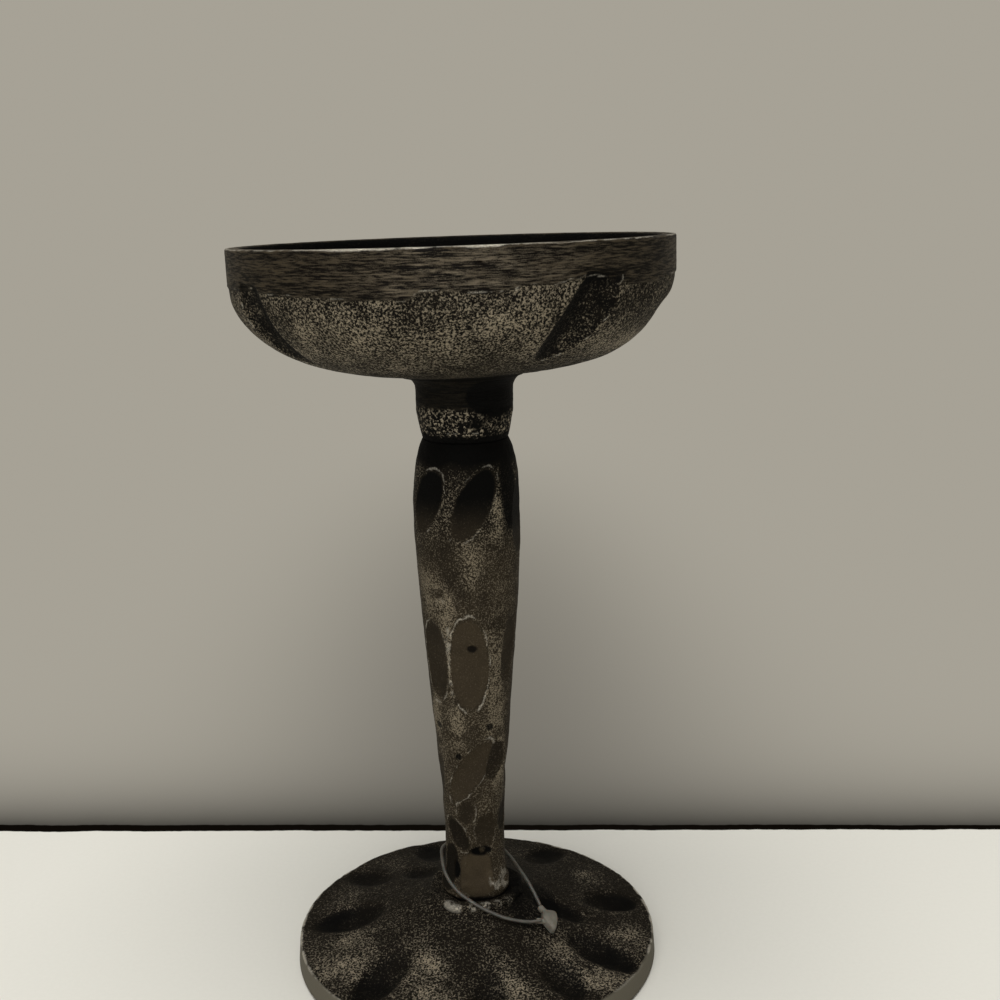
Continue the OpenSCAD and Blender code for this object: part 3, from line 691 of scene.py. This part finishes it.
def makeStem(s):
    (profile, part), side = stemProfile(s)
    points, normal, azimuth = turnedBody(profile, True, s.columns)
    h = points[..., 2]
    skin = rowsOf(part, "side", "lip")
    fade = smooth(0, 2, h) * smooth(0, 3, s.height - h)
    points = moved(points, normal, skin * fade * castSkin(points, s.skin))
    hollow, wearAndGlint, soot, rust = (np.zeros(h.shape) for _ in range(4))
    wobble = 0.1 * layers(points, 4, 111) + 0.05 * layers(points, 1.3, 113)
    for azimuthAt, at, slant, half, depth, dark, brown, worn in s.facets:
        cut, way = struck(points, side, azimuthAt, at, slant, half, depth)
        cut = np.where(skin, cut + wobble, clear)
        points = moved(points, way, -softCut(cut, 0.06))
        inside = smooth(0.0, 0.28, cut)
        hollow = most(hollow, inside)
        # the darkest, high under the dish, are black with soot and painted shade in their upper
        # part and browner below
        lower = smooth(3, -9, h - at) * (dark > 0.85)
        soot = soot * (1 - inside) + dark * (1 - 0.5 * lower) * inside
        rust = rust * (1 - inside) + (brown + 0.4 * lower) * inside
        broken = patches(points, (3.2, 115 + int(at), -0.25 - 0.7 * worn, 0.45))
        line = bell(cut + 0.06, 0.13) * broken
        wearAndGlint = most(wearAndGlint * (1 - inside), worn * line)
    # painted shade under the dish, light stretches and pale scrapes between the facets, pinholes
    top = smooth(141, 146, h + 1.2 * layers(points, 5, 121))
    light = np.clip(haze(azimuth, h, s.light), 0, 1) * patches(points, s.lightGaps)
    light = light * (1 - 0.6 * hollow)
    upper, lower = (spot(azimuth, h, scrape) for scrape in s.scrapes)
    pale = (upper + 1.1 * lower) * (1 - hollow) * patches(points, s.scrapeGaps)
    wearAndGlint = 0.85 * most(wearAndGlint, 0.62 * pale)
    pinholes = sum(spot(azimuth, h, hole) for hole in s.pinholes)
    points = moved(points, normal, -0.25 * pinholes * skin)
    soot = most(soot, top, 0.9 * skin * spot(azimuth, h, s.sootPatch), 0.85 * pinholes)
    # foot: a brown flat, a corner over it and a recess beside it darkened as painted shade, a
    # light lump on its right
    at, level, wide, tall, reach = s.footFlat
    patch = ((turnTo(azimuth, at) / wide) ** 4 + ((h - level) / tall) ** 4) ** 0.25
    patch = smooth(1.08, 0.9, patch)
    rust = most(rust, 0.45 * smooth(132, 112, h), patch)
    notch = spot(azimuth, h, s.notch) * patches(points, s.notchGaps)
    recess = spot(azimuth, h, s.recess)
    out = facing(at)[0]
    shaved = softCut(points @ out - reach, 0.1) * smooth(15, 9, h) * skin
    points = moved(points, out, -shaved)
    points = moved(points, normal, -(0.35 * notch + 0.4 * recess) * skin)
    # painted shade along the stem's bottom edge, where it meets the bead
    gap = smooth(2.0, 0.8, h) * skin
    soot = most(soot * (1 - patch), 0.95 * notch, 0.95 * recess, 0.9 * gap)
    lump = spot(azimuth, h, s.lump)
    points = moved(points, normal, lump * (0.8 + 0.3 * layers(points, 2, 129)) * skin)
    wearAndGlint = np.clip(most(wearAndGlint, 0.55 * lump * patches(points, s.lumpGaps)), 0, 1)
    speckAndSheen = np.where(skin, 0.62 + 0.55 * light, 0.2) * (1 - 0.5 * hollow) * (1 - 0.6 * patch)
    marks = {"speckAndSheen": speckAndSheen * (1 - 0.9 * top), "wearAndGlint": wearAndGlint,
             "soot": np.clip(soot, 0, 1) * (1 - 0.9 * lump), "rust": rust}
    return layRings("taperedStem", points + [0, 0, seatHeight], True, marks, "holder",
                    "stem")


# Round foot plate, in mm over its underside
plate = Values(
    columns=656, radius=58.7, draft=0.5, round=0.7, edge=6.8, height=20.0,
    seat=14.0, web=5.5, land=12.0, boss=13.0, face=10.3, bore=3.4,
    socket=8.2, socketFloor=15.8, corner=57.9,
    # dents: azimuth, distance from the axis, half width, half length, depth, how dark with painted
    # shade
    dents=[
        [-91, 42.3, 8.4, 12.2, 2.9, 0.85], [-42, 44.9, 7.9, 12.8, 3.0, 0.8],
        [5, 44, 7.2, 11.4, 2.5, 0.7], [36, 45.2, 7.2, 11.2, 2.6, 0.7],
        [60, 45.5, 7.3, 12.8, 2.9, 0.85], [99, 45.8, 7.2, 11, 2.6, 0.8],
        [148, 47, 7.2, 11, 2.5, 0.75], [-160, 47, 7.2, 11, 2.5, 0.75],
        [-126, 47, 7, 10.6, 2.5, 0.75], [80, 27.6, 5.6, 9.9, 1.9, 0.8],
        [-140, 29.4, 6.2, 9.9, 1.9, 0.7], [172, 29.4, 5.6, 9.6, 1.7, 0.7]],
    skin=((0.12, 9.0, 201), (0.05, 1.5, 206, 2), (0.11, 2.6, 210, 0.42)),
    # oval patches, as in wayOut with the radius as level: bright ridges as painted light, one of
    # painted shade and one of painted shadow
    ridges=[(-57, 49, 11, 10), (-70, 41, 12, 7), (-28, 36, 11, 7), (-19, 46, 8, 10),
        (15, 43, 8, 10), (45, 52, 10, 9), (47, 36, 9, 6), (76, 51, 9, 7),
        (-106, 46, 10, 5), (120, 44, 10, 6), (-178, 48, 9, 7), (-142, 48, 8, 7)],
    dull=[(-4, 22, 50, 7)], shadow=(72, 20, 38, 8),
    # ragged looks, as in patches
    nicks=(8, 211, 0.35, 0.8), sootGaps=(6, 225, -0.55, 0.25), dentEdge=(5, 219, 0.0, 0.6),
    rimGlint=(4, 223, -0.8, 0.2))


def plateProfile(b):
    rim, edge, corner = b.radius - b.draft, b.edge, b.round
    rise = b.height - edge
    dome = bezier([rim - corner, edge], [rim * 0.715, edge + rise * 0.16],
                  [rim * 0.41, edge + rise * 0.49], [b.seat, b.height])
    land, boss, bore = b.radius - b.land, b.boss, b.bore
    ceiling = dome[(dome[:, 0] < land) & (dome[:, 0] > boss)][::-1] - [0, b.web]
    rounded = np.stack([rim - corner * (1 - np.cos(quarter)),
                        edge - corner * (1 - np.sin(quarter))], axis=1)
    profile = outline([
        ("hub", [[bore, b.face], [boss, b.face]], 3),
        ("boss", [[boss, b.face], [boss, b.height - b.web]], 3),
        ("ceiling", ceiling, 14),
        ("wall", [ceiling[-1] * [0, 1] + [land, 0], [land, 0]], 4),
        ("land", [[land, 0], [b.radius, 0]], 8),
        ("side", [[b.radius, 0], [rim, edge - corner]], 12),
        ("corner", rounded, 4),
        ("dome", dome, 93),
        ("seat", [[b.seat, b.height], [b.socket, b.height]], 3),
        ("socket", [[b.socket, b.height], [b.socket, b.socketFloor],
                    [bore, b.socketFloor]], 3),
        ("bore", [[bore, b.socketFloor], [bore, b.face]], 2)], True)
    return profile, dome[::-1]


def rocked(points, dome, azimuth, radius, halfWidth, halfLength, depth):
    # how far points stand up past a round-nosed tool rocked along a line down the dome
    out, across = facing(azimuth)
    height, inner, outer = np.interp([radius, radius - 4, radius + 4], dome[:, 0], dome[:, 1])
    slope = math.atan2(inner - outer, 8)
    way = math.sin(slope) * out + math.cos(slope) * upright
    along = math.cos(slope) * out - math.sin(slope) * upright
    off = points - (radius * out + [0, 0, height])
    x, y, z = off @ along, off @ across, off @ way
    nose = halfWidth ** 2 / (2 * depth)
    rock = max(halfLength ** 2 / (2 * depth), 2 * nose + 1)
    sweep = rock - nose + np.sqrt(most(nose ** 2 - y ** 2, 0))
    floor = rock - depth - np.sqrt(most(sweep ** 2 - x ** 2, 0))
    held = (np.abs(y) < nose) & (np.abs(x) < sweep)
    return np.where(held, z - floor, clear), way


def makePlate(b):
    (profile, part), dome = plateProfile(b)
    points, normal, azimuth = turnedBody(profile, True, b.columns)
    radius, z = radiusOf(points), points[..., 2]
    top, side = rowsOf(part, "dome", "corner"), rowsOf(part, "side", "corner")
    # cast skin on top, a smoother side, and nicks along the corner between them
    nicks = (patches(points, b.nicks) * bell(radius - b.corner, 1.0) * bell(z - 6.6, 1.2))
    relief = (top * smooth(14, 17, radius) * castSkin(points, b.skin)
              + side * 0.03 * layers(points, 3, 207) - (top | side) * 0.25 * nicks)
    points = moved(points, normal, relief)
    hollow, wearAndGlint, soot = (np.zeros(radius.shape) for _ in range(3))
    wobble = 0.55 * layers(points, 8, 213) + 0.1 * layers(points, 1.8, 216)
    sootGaps = patches(points, b.sootGaps)
    for azimuthAt, at, halfWidth, halfLength, depth, dark in b.dents:
        cut, way = rocked(points, dome, azimuthAt, at, halfWidth, halfLength, depth)
        cut = np.where(top, cut + wobble, clear)
        points = moved(points, way, -softCut(cut, 0.5))
        inside = smooth(-0.1, 1.5, cut)
        hollow = most(hollow, inside)
        # painted shade lies in the half nearer the rim, which the front light does not reach
        near = smooth(at - 7, at + 4, radius)
        soot = most(soot, dark * inside * (0.45 + 0.4 * near + 0.25 * sootGaps))
        wearAndGlint = most(wearAndGlint, 0.35 * bell(cut + 0.15, 0.25) * patches(points, b.dentEdge))
    # painted light and shade: brighter ridges near the front, duller at the front under the dish,
    # darker by the seat and in a painted shadow, and duller round the back
    ridge = np.clip(1.15 * haze(azimuth, radius, b.ridges), 0, 1)
    ridge = ridge * (0.85 + 0.5 * layers(points, 6, 227))
    speckAndSheen = 0.56 + 0.5 * ridge - 0.16 * haze(azimuth, radius, b.dull)
    speckAndSheen = np.where(top, speckAndSheen, 0.2) * (1 - 0.35 * hollow)
    speckAndSheen = speckAndSheen * (0.72 + 0.28 * smooth(110, 60, np.abs(azimuth)))
    ground = side * smooth(7.2, 6.0, points[..., 2])
    dark = 0.2 * smooth(19, 15, radius) + 0.7 * spot(azimuth, radius, b.shadow)
    soot = np.where(top | side, np.clip(soot + top * dark, 0, 1), 0.6)
    rimGlint = bell(np.hypot(radius - b.corner, points[..., 2] - 6.5), 0.75)
    rimGlint = (rimGlint * patches(points, b.rimGlint) * (top | side)
                * (0.5 + 0.5 * smooth(55, 85, np.abs(azimuth))))
    marks = {"speckAndSheen": speckAndSheen * (1 - ground), "wearAndGlint": most(wearAndGlint, rimGlint), "soot": soot,
             "ground": ground}
    return layRings("footPlate", points + [0, 0, baseUnder], True, marks, "holder",
                    "base")


# Weld bead round the stem's foot, in mm over the seat
bead = Values(
    rings=420, columns=40, ring=14.0, thick=1.05, inner=10.2, web=0.55,
    # lumps: azimuth, half length, how far out, how far up, how thick and how light
    lumps=[[-33, 3.2, 0.5, -0.3, 1.5, 0.9], [-24, 2, 0.5, -0.3, 1.45, 0.8],
        [-5, 1.5, -0.2, 0.1, 1.5, 0.9], [11, 2.2, -0.2, 0.1, 1.45, 0.9],
        [28, 1.3, 0.2, 0, 1.5, 0.8], [45, 1.8, 0.2, -0.1, 1.4, 0.5],
        [72, 2, 0.4, -0.3, 1.2, 0.2], [110, 2.4, 0.5, -0.3, 1.35, 0.3],
        [150, 2.2, 0.4, -0.3, 1.4, 0.4], [-165, 2, 0.4, -0.3, 1.3, 0.2],
        [-120, 2.4, 0.5, -0.3, 1.4, 0.4], [-80, 2, 0.4, -0.3, 1.2, 0.3]],
    bright=(2.4, 307, -0.5, 0.05))   # as in patches


def makeBead(w):
    # a ring that swells and moves at each lump, drawn in to a thin web on its inner side
    azimuth = np.linspace(-180, 180, w.rings, endpoint=False)
    thick, out, rise, light = (np.zeros(w.rings) for _ in range(4))
    for at, half, far, high, size, pale in w.lumps:
        near = bell(turnTo(azimuth, at) * math.radians(w.ring), half)
        thick = most(thick, (size - 1) * near)
        out, rise = out + far * near, rise + high * near
        light = most(light, pale * smooth(0.25, 0.8, near))
    thick, out, rise, light = (v[:, None] for v in (w.thick * (1 + thick), out, rise, light))
    section = np.linspace(0, 2 * np.pi, w.columns, endpoint=False)[None]
    across, over = np.cos(section), np.sin(section)
    inward = smooth(-0.1, -1, across)
    r = w.ring + out + thick * across + inward * (w.inner - w.ring - out + thick)
    z = rise + over * (thick + (w.web - thick) * inward)
    turn = np.radians(azimuth - 90)[:, None]
    points = np.stack([r * np.cos(turn), r * np.sin(turn), z], axis=-1)
    rough = (0.16 * layers(points, 1.7, 301) + 0.08 * layers(points, 0.7, 304, 2)) * (1 - inward)
    points[..., :2] *= (1 + rough * across / w.ring)[..., None]
    points[..., 2] += rough * over
    front = light * patches(points, w.bright) * (1 - inward)
    # darker round the right side, at azimuth 90, as painted shade
    sootyAndShaded = 0.3 + 0.65 * smooth(70, 20, np.abs(turnTo(azimuth, 90)))[:, None]
    marks = {"speckAndSheen": 0.6, "wearAndGlint": 0.72 * front, "soot": sootyAndShaded * (1 - front)}
    return layRings("weldBead", points + [0, 0, seatHeight], True, marks, "holder",
                    "weld_bead")


dishPiece, stemPiece, platePiece, beadPiece = (
    makeDish(dish), makeStem(stem), makePlate(plate), makeBead(bead))


# Look of the castings: sizes in metres, colours as linear red, green and blue
castFinish = Values(
    grain=0.00062, fine=0.0003, cloud=0.011, blotch=0.0009, bump=0.0003,
    # turning marks: their sizes across, across and up
    long=(0.0042, 0.0042, 0.00048), broad=(0.014, 0.014, 0.0022),
    pit=(0.0022, 0.0016, 0.0009), skin=(0.0085, 0.0064, 0.0036), peak=(0.29, 0.246, 0.177),
    # soot black, also for painted shade; brown stain; worn metal, also for painted highlights
    soot=(0.0009, 0.0008, 0.0006), brown=(0.06, 0.045, 0.027), worn=(0.4, 0.37, 0.31),
    # the turned streaks' dark and light tones, the painted sheen's highlight tone, and ground
    # metal
    streakDark=(0.0026, 0.0018, 0.0009), streakLight=(0.06, 0.0465, 0.029),
    streakBright=(0.165, 0.138, 0.1), ground=(0.125, 0.112, 0.084))


def makeCastFinish(name, look, grainShare=1.0):
    # dark pits and lighter worn peaks where it is as cast; streaks where it was turned; soot and
    # painted shade, brown stain, and worn edges with painted highlights laid over both by the
    # marks that the shapes carry
    f = Finish(bpy.data.materials.new(name))
    turned, speckAndSheen, wearAndGlint, soot, mottle, rust, ground = (
        f.mark(m) for m in ("turned", "speckAndSheen", "wearAndGlint", "soot", "mottle", "rust", "ground"))
    grainNoise = f.noise(look.grain * grainShare, 5.0, 0.68, 0.15)
    fineNoise = f.noise(look.fine, 2.0, 0.6)
    cloud = f.noise(look.cloud, 3.0, 0.55)
    # as cast
    peaks = (grainNoise + (fineNoise - 0.5) * 0.3 + (cloud - 0.5) * 0.17
             + (speckAndSheen - 0.7) * 0.16).between(0.5, 0.63)
    strength = (speckAndSheen * (cloud.between(0.32, 0.62) * 0.36 + 0.74)).clip()
    base = f.blend(strength, look.skin, look.pit)
    cast = f.blend(peaks * strength, base, look.peak)
    # turned
    streaks = (f.noise(look.long, 4.0, 0.62, 0.25) * 0.85
               + f.noise(look.broad, 2.0, 0.5, 0.2) * 0.35
               + (fineNoise - 0.5) * 0.25).between(0.5, 0.76)
    # painted sheen: the light streaks brighten to a highlight tone where the mark says so
    sheen = f.blend(speckAndSheen, look.streakLight, look.streakBright)
    tone = f.blend(turned, cast, f.blend(streaks, look.streakDark, sheen))
    # ground, stained, mottled, sooty with painted shade, and worn with painted highlights
    tone = f.blend(ground * 0.9, tone, look.ground)
    stained = (rust * (cloud.between(0.2, 0.6) * 0.4 + 0.4 + (fineNoise - 0.5) * 0.9)).clip()
    tone = f.blend(stained, tone, look.brown)
    flecks = f.noise(look.blotch, 3.0, 0.6, 0.6).between(0.5, 0.62)
    tone = f.blend(mottle * 0.95, tone, f.blend(flecks, look.soot, look.peak))
    sootyAndShaded = (soot * 1.08 - peaks * (1 - soot) * 0.7).clip()
    tone = f.blend(sootyAndShaded, tone, look.soot)
    rubbedAndGlint = (wearAndGlint * (fineNoise * 0.7 + grainNoise * 0.9)).between(0.22, 0.75)
    tone = f.blend(rubbedAndGlint, tone, look.worn)
    light = peaks * strength
    roughness = (0.66 - light * 0.18 - rubbedAndGlint * 0.24 + sootyAndShaded * 0.1 - turned * 0.14).clip()
    metallic = (light * 0.6 + rubbedAndGlint * 0.7 + turned * streaks * 0.5 - sootyAndShaded * 0.3).clip()
    height = (grainNoise * (1 - turned) * (strength * 0.8 + 0.2) + fineNoise * 0.25
              + turned * streaks * 0.5 + mottle * flecks * 0.8)
    return f.surface(tone, roughness, metallic, height, look.bump, {"Specular IOR Level": 0.06})


# The other finishes: a cloudy and a fine noise, each with its size in metres, detail and
# roughness; a dark and a light tone; roughness, how uneven it is and how metallic; the bump in
# metres and sockets set to a constant
nylon = {"IOR": 1.53, "Subsurface Weight": 0.25, "Subsurface Scale": 0.001}
plainLooks = {
    "zincPlate": [(0.004, 3.0, 0.6), (0.0004, 2.0), (0.42, 0.42, 0.39), (0.6, 0.6, 0.57),
                  0.34, 0.2, 0.9, 0.00004, {}],
    "clearNylon": [(0.003, 3.0, 0.6), (0.0005, 2.0), (0.036, 0.033, 0.026),
                   (0.072, 0.067, 0.053), 0.35, 0.15, 0, 0.00005, nylon],
    "frostedNylon": [(0.003, 3.0, 0.6), (0.0005, 2.0), (0.11, 0.1, 0.078),
                     (0.16, 0.145, 0.115), 0.5, 0.15, 0, 0.00005, nylon],
    "felt": [(0.006, 3.0), (0.0005, 3.0, 0.7, 1.5), (0.006, 0.0055, 0.005),
             (0.022, 0.02, 0.018), 0.9, 0.1, 0, 0.0002, {}]}


def makePlainFinish(name, fibrous=False):
    # toned by its clouds, or by its fine noise where that is fibrous
    coarse, small, dark, light, rough, uneven, metal, lift, fixed = plainLooks[name]
    f = Finish(bpy.data.materials.new(name))
    cloud, fine = f.noise(*coarse), f.noise(*small)
    share = fine.between(0.35, 0.7) if fibrous else cloud.between(0.3, 0.7)
    metallic = (1 - cloud * 0.111) * metal if metal else 0.0
    roughness = (cloud if fibrous else fine) * uneven + rough
    return f.surface(f.blend(share, dark, light), roughness, metallic, fine, lift, fixed)


castMaterial = makeCastFinish("blackenedCasting", castFinish)
for piece, material in ((dishPiece, castMaterial), (platePiece, castMaterial),
                        (stemPiece, makeCastFinish("finerCasting", castFinish, 0.78)),
                        (beadPiece, makeCastFinish("weldMetal", castFinish, 0.8)),
                        (tagLoop, makePlainFinish("clearNylon"))):
    piece.data.materials.append(material)


# Lock of the tag loop, on its own axes: along its length, across and up; angles in degrees
lock = Values(
    at=(22.9, -11.8, -3.65), azimuth=60, lean=21, turn=-50, length=8.2,
    half=2.55, thick=2.8, round=0.7, points=72, steps=24,
    # outline as shares of the length and of half the width
    outline=[[0, -0.6], [0.1, -0.92], [0.45, -1], [0.95, -0.28], [1, 0], [0.95, 0.3],
        [0.5, 0.84], [0.14, 0.95], [0, 0.64]],
    # how far out the rings of a face lie, as shares, and how far its upper side swells there
    faceRings=[0.08, 0.35, 0.7], swell=[0.22, 0.2, 0.12],
    # neck and nub: radius and length; a stub's rings along its length, and their radii
    neck=(1.05, 3.3), neckTurn=34, neckAt=(0.7, -0.7, 0),
    nub=(0.85, 4.9), nubAt=0.52,
    stubRun=[0, 0.02, 0.08, 0.2, 0.5, 0.8, 0.92, 0.98, 1],
    stubSize=[0.55, 0.8, 0.95, 1, 0.97, 1, 0.95, 0.8, 0.55])


def placeLock(points, v):
    # laid from the lock's own axes into the object's: turned, leant down, then turned outwards
    for axis, degrees in ((2, v.turn), (1, v.lean), (2, v.azimuth - 90)):
        a = math.radians(degrees)
        first, second = ((0, 1), (2, 0))[axis == 1]
        turn = np.eye(3)
        turn[first, first] = turn[second, second] = math.cos(a)
        turn[first, second], turn[second, first] = -math.sin(a), math.sin(a)
        points = points @ turn.T
    return points + v.at + [0, 0, seatHeight]


def stub(v, start, way, radius, length):
    # a short round rod with rounded ends, as rings along its way
    run = np.array(v.stubRun) * length
    return tubeRings(start + run[:, None] * np.array(way), radius * np.array(v.stubSize), 20)


def makeLock(v):
    corners = np.array(v.outline) * [v.length, v.half]
    closed = throughPoints(np.vstack([corners[-2:], corners, corners[:3]]), v.steps)
    closed = closed[2 * v.steps:(2 + len(corners)) * v.steps + 1]
    around = spread(closed, v.points)[:-1]
    middle = around.mean(axis=0)
    half, r = v.thick / 2, v.round
    # rings from the lower face round the edge to the upper one, which swells a little
    edge = np.radians(np.arange(-90, 91, 15))
    rounded = np.where(edge < 0, r - half, half - r) + r * np.sin(edge)
    share = np.concatenate([v.faceRings, 1 - (r / v.half) * (1 - np.cos(edge)),
                            v.faceRings[::-1]])
    rise = np.concatenate([[-half] * 3, rounded, half + np.array(v.swell[::-1])])
    flat = middle + share[:, None, None] * (around - middle)
    high = np.broadcast_to(rise[:, None, None], flat.shape[:2] + (1,))
    leaf = np.concatenate([flat, high], axis=-1)
    leaf = leaf + 0.05 * layers(leaf, 1.6, 401)[..., None]
    bend = math.radians(180 + v.neckTurn)
    neck = stub(v, v.neckAt, (math.cos(bend), math.sin(bend), 0), *v.neck)
    nub = stub(v, (v.length * v.nubAt, 0, 0), (0, -1.0, 0), *v.nub)
    return [layRings(name, placeLock(rings, v), False, {}, "tag", "tag_lock")
            for name, rings in (("lockLeaf", leaf), ("lockNeck", neck), ("lockNub", nub))]


lockPieces = makeLock(lock)
lockMaterial = makePlainFinish("frostedNylon")
for piece in lockPieces:
    piece.data.materials.append(lockMaterial)


# Felt under the foot
felt = Values(radius=54.7, thick=1.0, columns=240, edge=0.4, fuzz=0.15)


def makeFelt(v):
    # a thin disc with soft rounded edges and a fuzzy rim
    r, t, inner = v.radius, v.thick, v.radius - v.edge
    edge = [[inner, 0], [r - 0.1, 0.2], [r, 0.5], [r - 0.1, 0.8], [inner, t]]
    profile = outline([("under", [[v.edge, 0], [inner, 0]], 8), ("edge", edge, 6),
                       ("over", [[inner, t], [v.edge, t]], 8)], False)[0]
    points = revolve(profile, v.columns)
    fuzz = smooth(r - 2, r, radiusOf(points)) * layers(points, 1.2, 501)
    points[..., :2] *= (1 - v.fuzz * np.abs(fuzz) / r)[..., None]
    return layRings("feltDisc", points, False, {}, "holder", "felt_disc")


makeFelt(felt).data.materials.append(makePlainFinish("felt", True))

# The hardware inside keeps the part's own shapes
zincMaterial = makePlainFinish("zincPlate")
for node in ("tie_rod", "rod_washer", "spring_washer", "rod_nut"):
    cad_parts[node].data.materials.clear()
    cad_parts[node].data.materials.append(zincMaterial)


stage = Values(
    size=6.0, table=(0.72, 0.7, 0.63), beyond=(0.385, 0.36, 0.305),
    joint=(0.004, 0.003, 0.002), ambient=(0.22, 0.22, 0.21),
    # the table's far edge: y in mm where x is 0 and its slope; the dark joint's width in mm where
    # x is 0, and by how much of x it narrows; how softly either ends, in metres
    edge=82.3, slope=-0.0644, gap=4.7, taper=0.0045, soft=0.0003,
    # past the joint, in metres: how far its painted shade reaches, and how much; the soft painted
    # shadow behind the object: how dark, its x and its half width
    reach=0.028, darkening=0.8, shade=0.5, shadeAt=0.012, shadeHalf=0.108,
    # lamps: place, aim, size and power
    lamps={"overhead": ((-0.1, -0.3, 2.0), (0, 0, 0.1), 1.5, 36.0),
           "front": ((-0.3, -1.5, 0.6), (0, 0, 0.13), 1.1, 10.5)})


def straightRay(f):
    # 1 for what the camera sees itself, in a mirror or through glass
    rays = f.node("LightPath", {}, {}, "Is Camera Ray")
    return rays.most(rays.also("Is Glossy Ray")).most(rays.also("Is Transmission Ray"))


def layFloor(values):
    # a pale table top that ends behind the object at a dark joint; past it, grey with painted
    # shade towards the joint and a soft painted shadow behind the object
    mesh = bpy.data.meshes.new("floor")
    size, soft = values.size, values.soft
    mesh.from_pydata([(-size, -size, 0), (size, -size, 0), (size, size, 0), (-size, size, 0)],
                     [], [(0, 1, 2, 3)])
    floor = bpy.data.objects.new("floor", mesh)
    bpy.context.scene.collection.objects.link(floor)
    f = Finish(bpy.data.materials.new("floor"))
    x = f.node("SeparateXYZ", {}, {0: f.place()}, "X")
    uneven = (f.noise(0.02, 3) - 0.5) * 0.0018 + (f.noise(0.004, 2) - 0.5) * 0.0008
    past = x.also("Y") - x * values.slope - values.edge * mm + uneven
    behind = (past - x * values.taper + values.gap * mm).between(-soft, soft)
    near = 1 - (past * (-1 / values.reach)).exp() * values.darkening
    aside = (x - values.shadeAt) * (1 / values.shadeHalf)
    shade = 1 - (aside * aside * -1).exp() * values.shade * past.between(0.9, 0.02)
    tint = f.node("VectorMath", {"operation": "SCALE"},
                  {0: values.beyond, "Scale": near * shade})
    grey = f.blend(past.between(-soft, soft), values.joint, tint)
    top = f.blend(f.noise(0.0015, 3).between(0.3, 0.7), [c * 0.985 for c in values.table],
                  values.table)
    both = f.node("MixShader", {}, {0: behind * straightRay(f),
                                    1: f.node("BsdfDiffuse", {}, {"Color": top}),
                                    2: f.node("Emission", {}, {"Color": grey})})
    f.node("OutputMaterial", {}, {"Surface": both})
    mesh.materials.append(f.owner)


def addLamp(name, place, aim, size, power):
    # a square soft box at its place, facing what it is aimed at
    data = bpy.data.lights.new(name, "AREA")
    data.energy, data.size = power, size
    lamp = bpy.data.objects.new(name, data)
    lamp.location = place
    lamp.rotation_euler = (Vector(place) - Vector(aim)).to_track_quat("Z", "Y").to_euler()
    bpy.context.scene.collection.objects.link(lamp)


def setWorld(values):
    # the grey backdrop where it is seen, and a dim even light elsewhere
    world = bpy.data.worlds.new("studio")
    f = Finish(world)
    tone = f.blend(straightRay(f), values.ambient, values.beyond)
    back = f.node("Background", {}, {"Color": tone, "Strength": 1.0})
    f.node("OutputWorld", {}, {"Surface": back})
    bpy.context.scene.world = world
    bpy.context.scene.view_settings.view_transform = "Standard"


layFloor(stage)
setWorld(stage)
for name, values in stage.lamps.items():
    addLamp(name, *values)
print("stage lit")
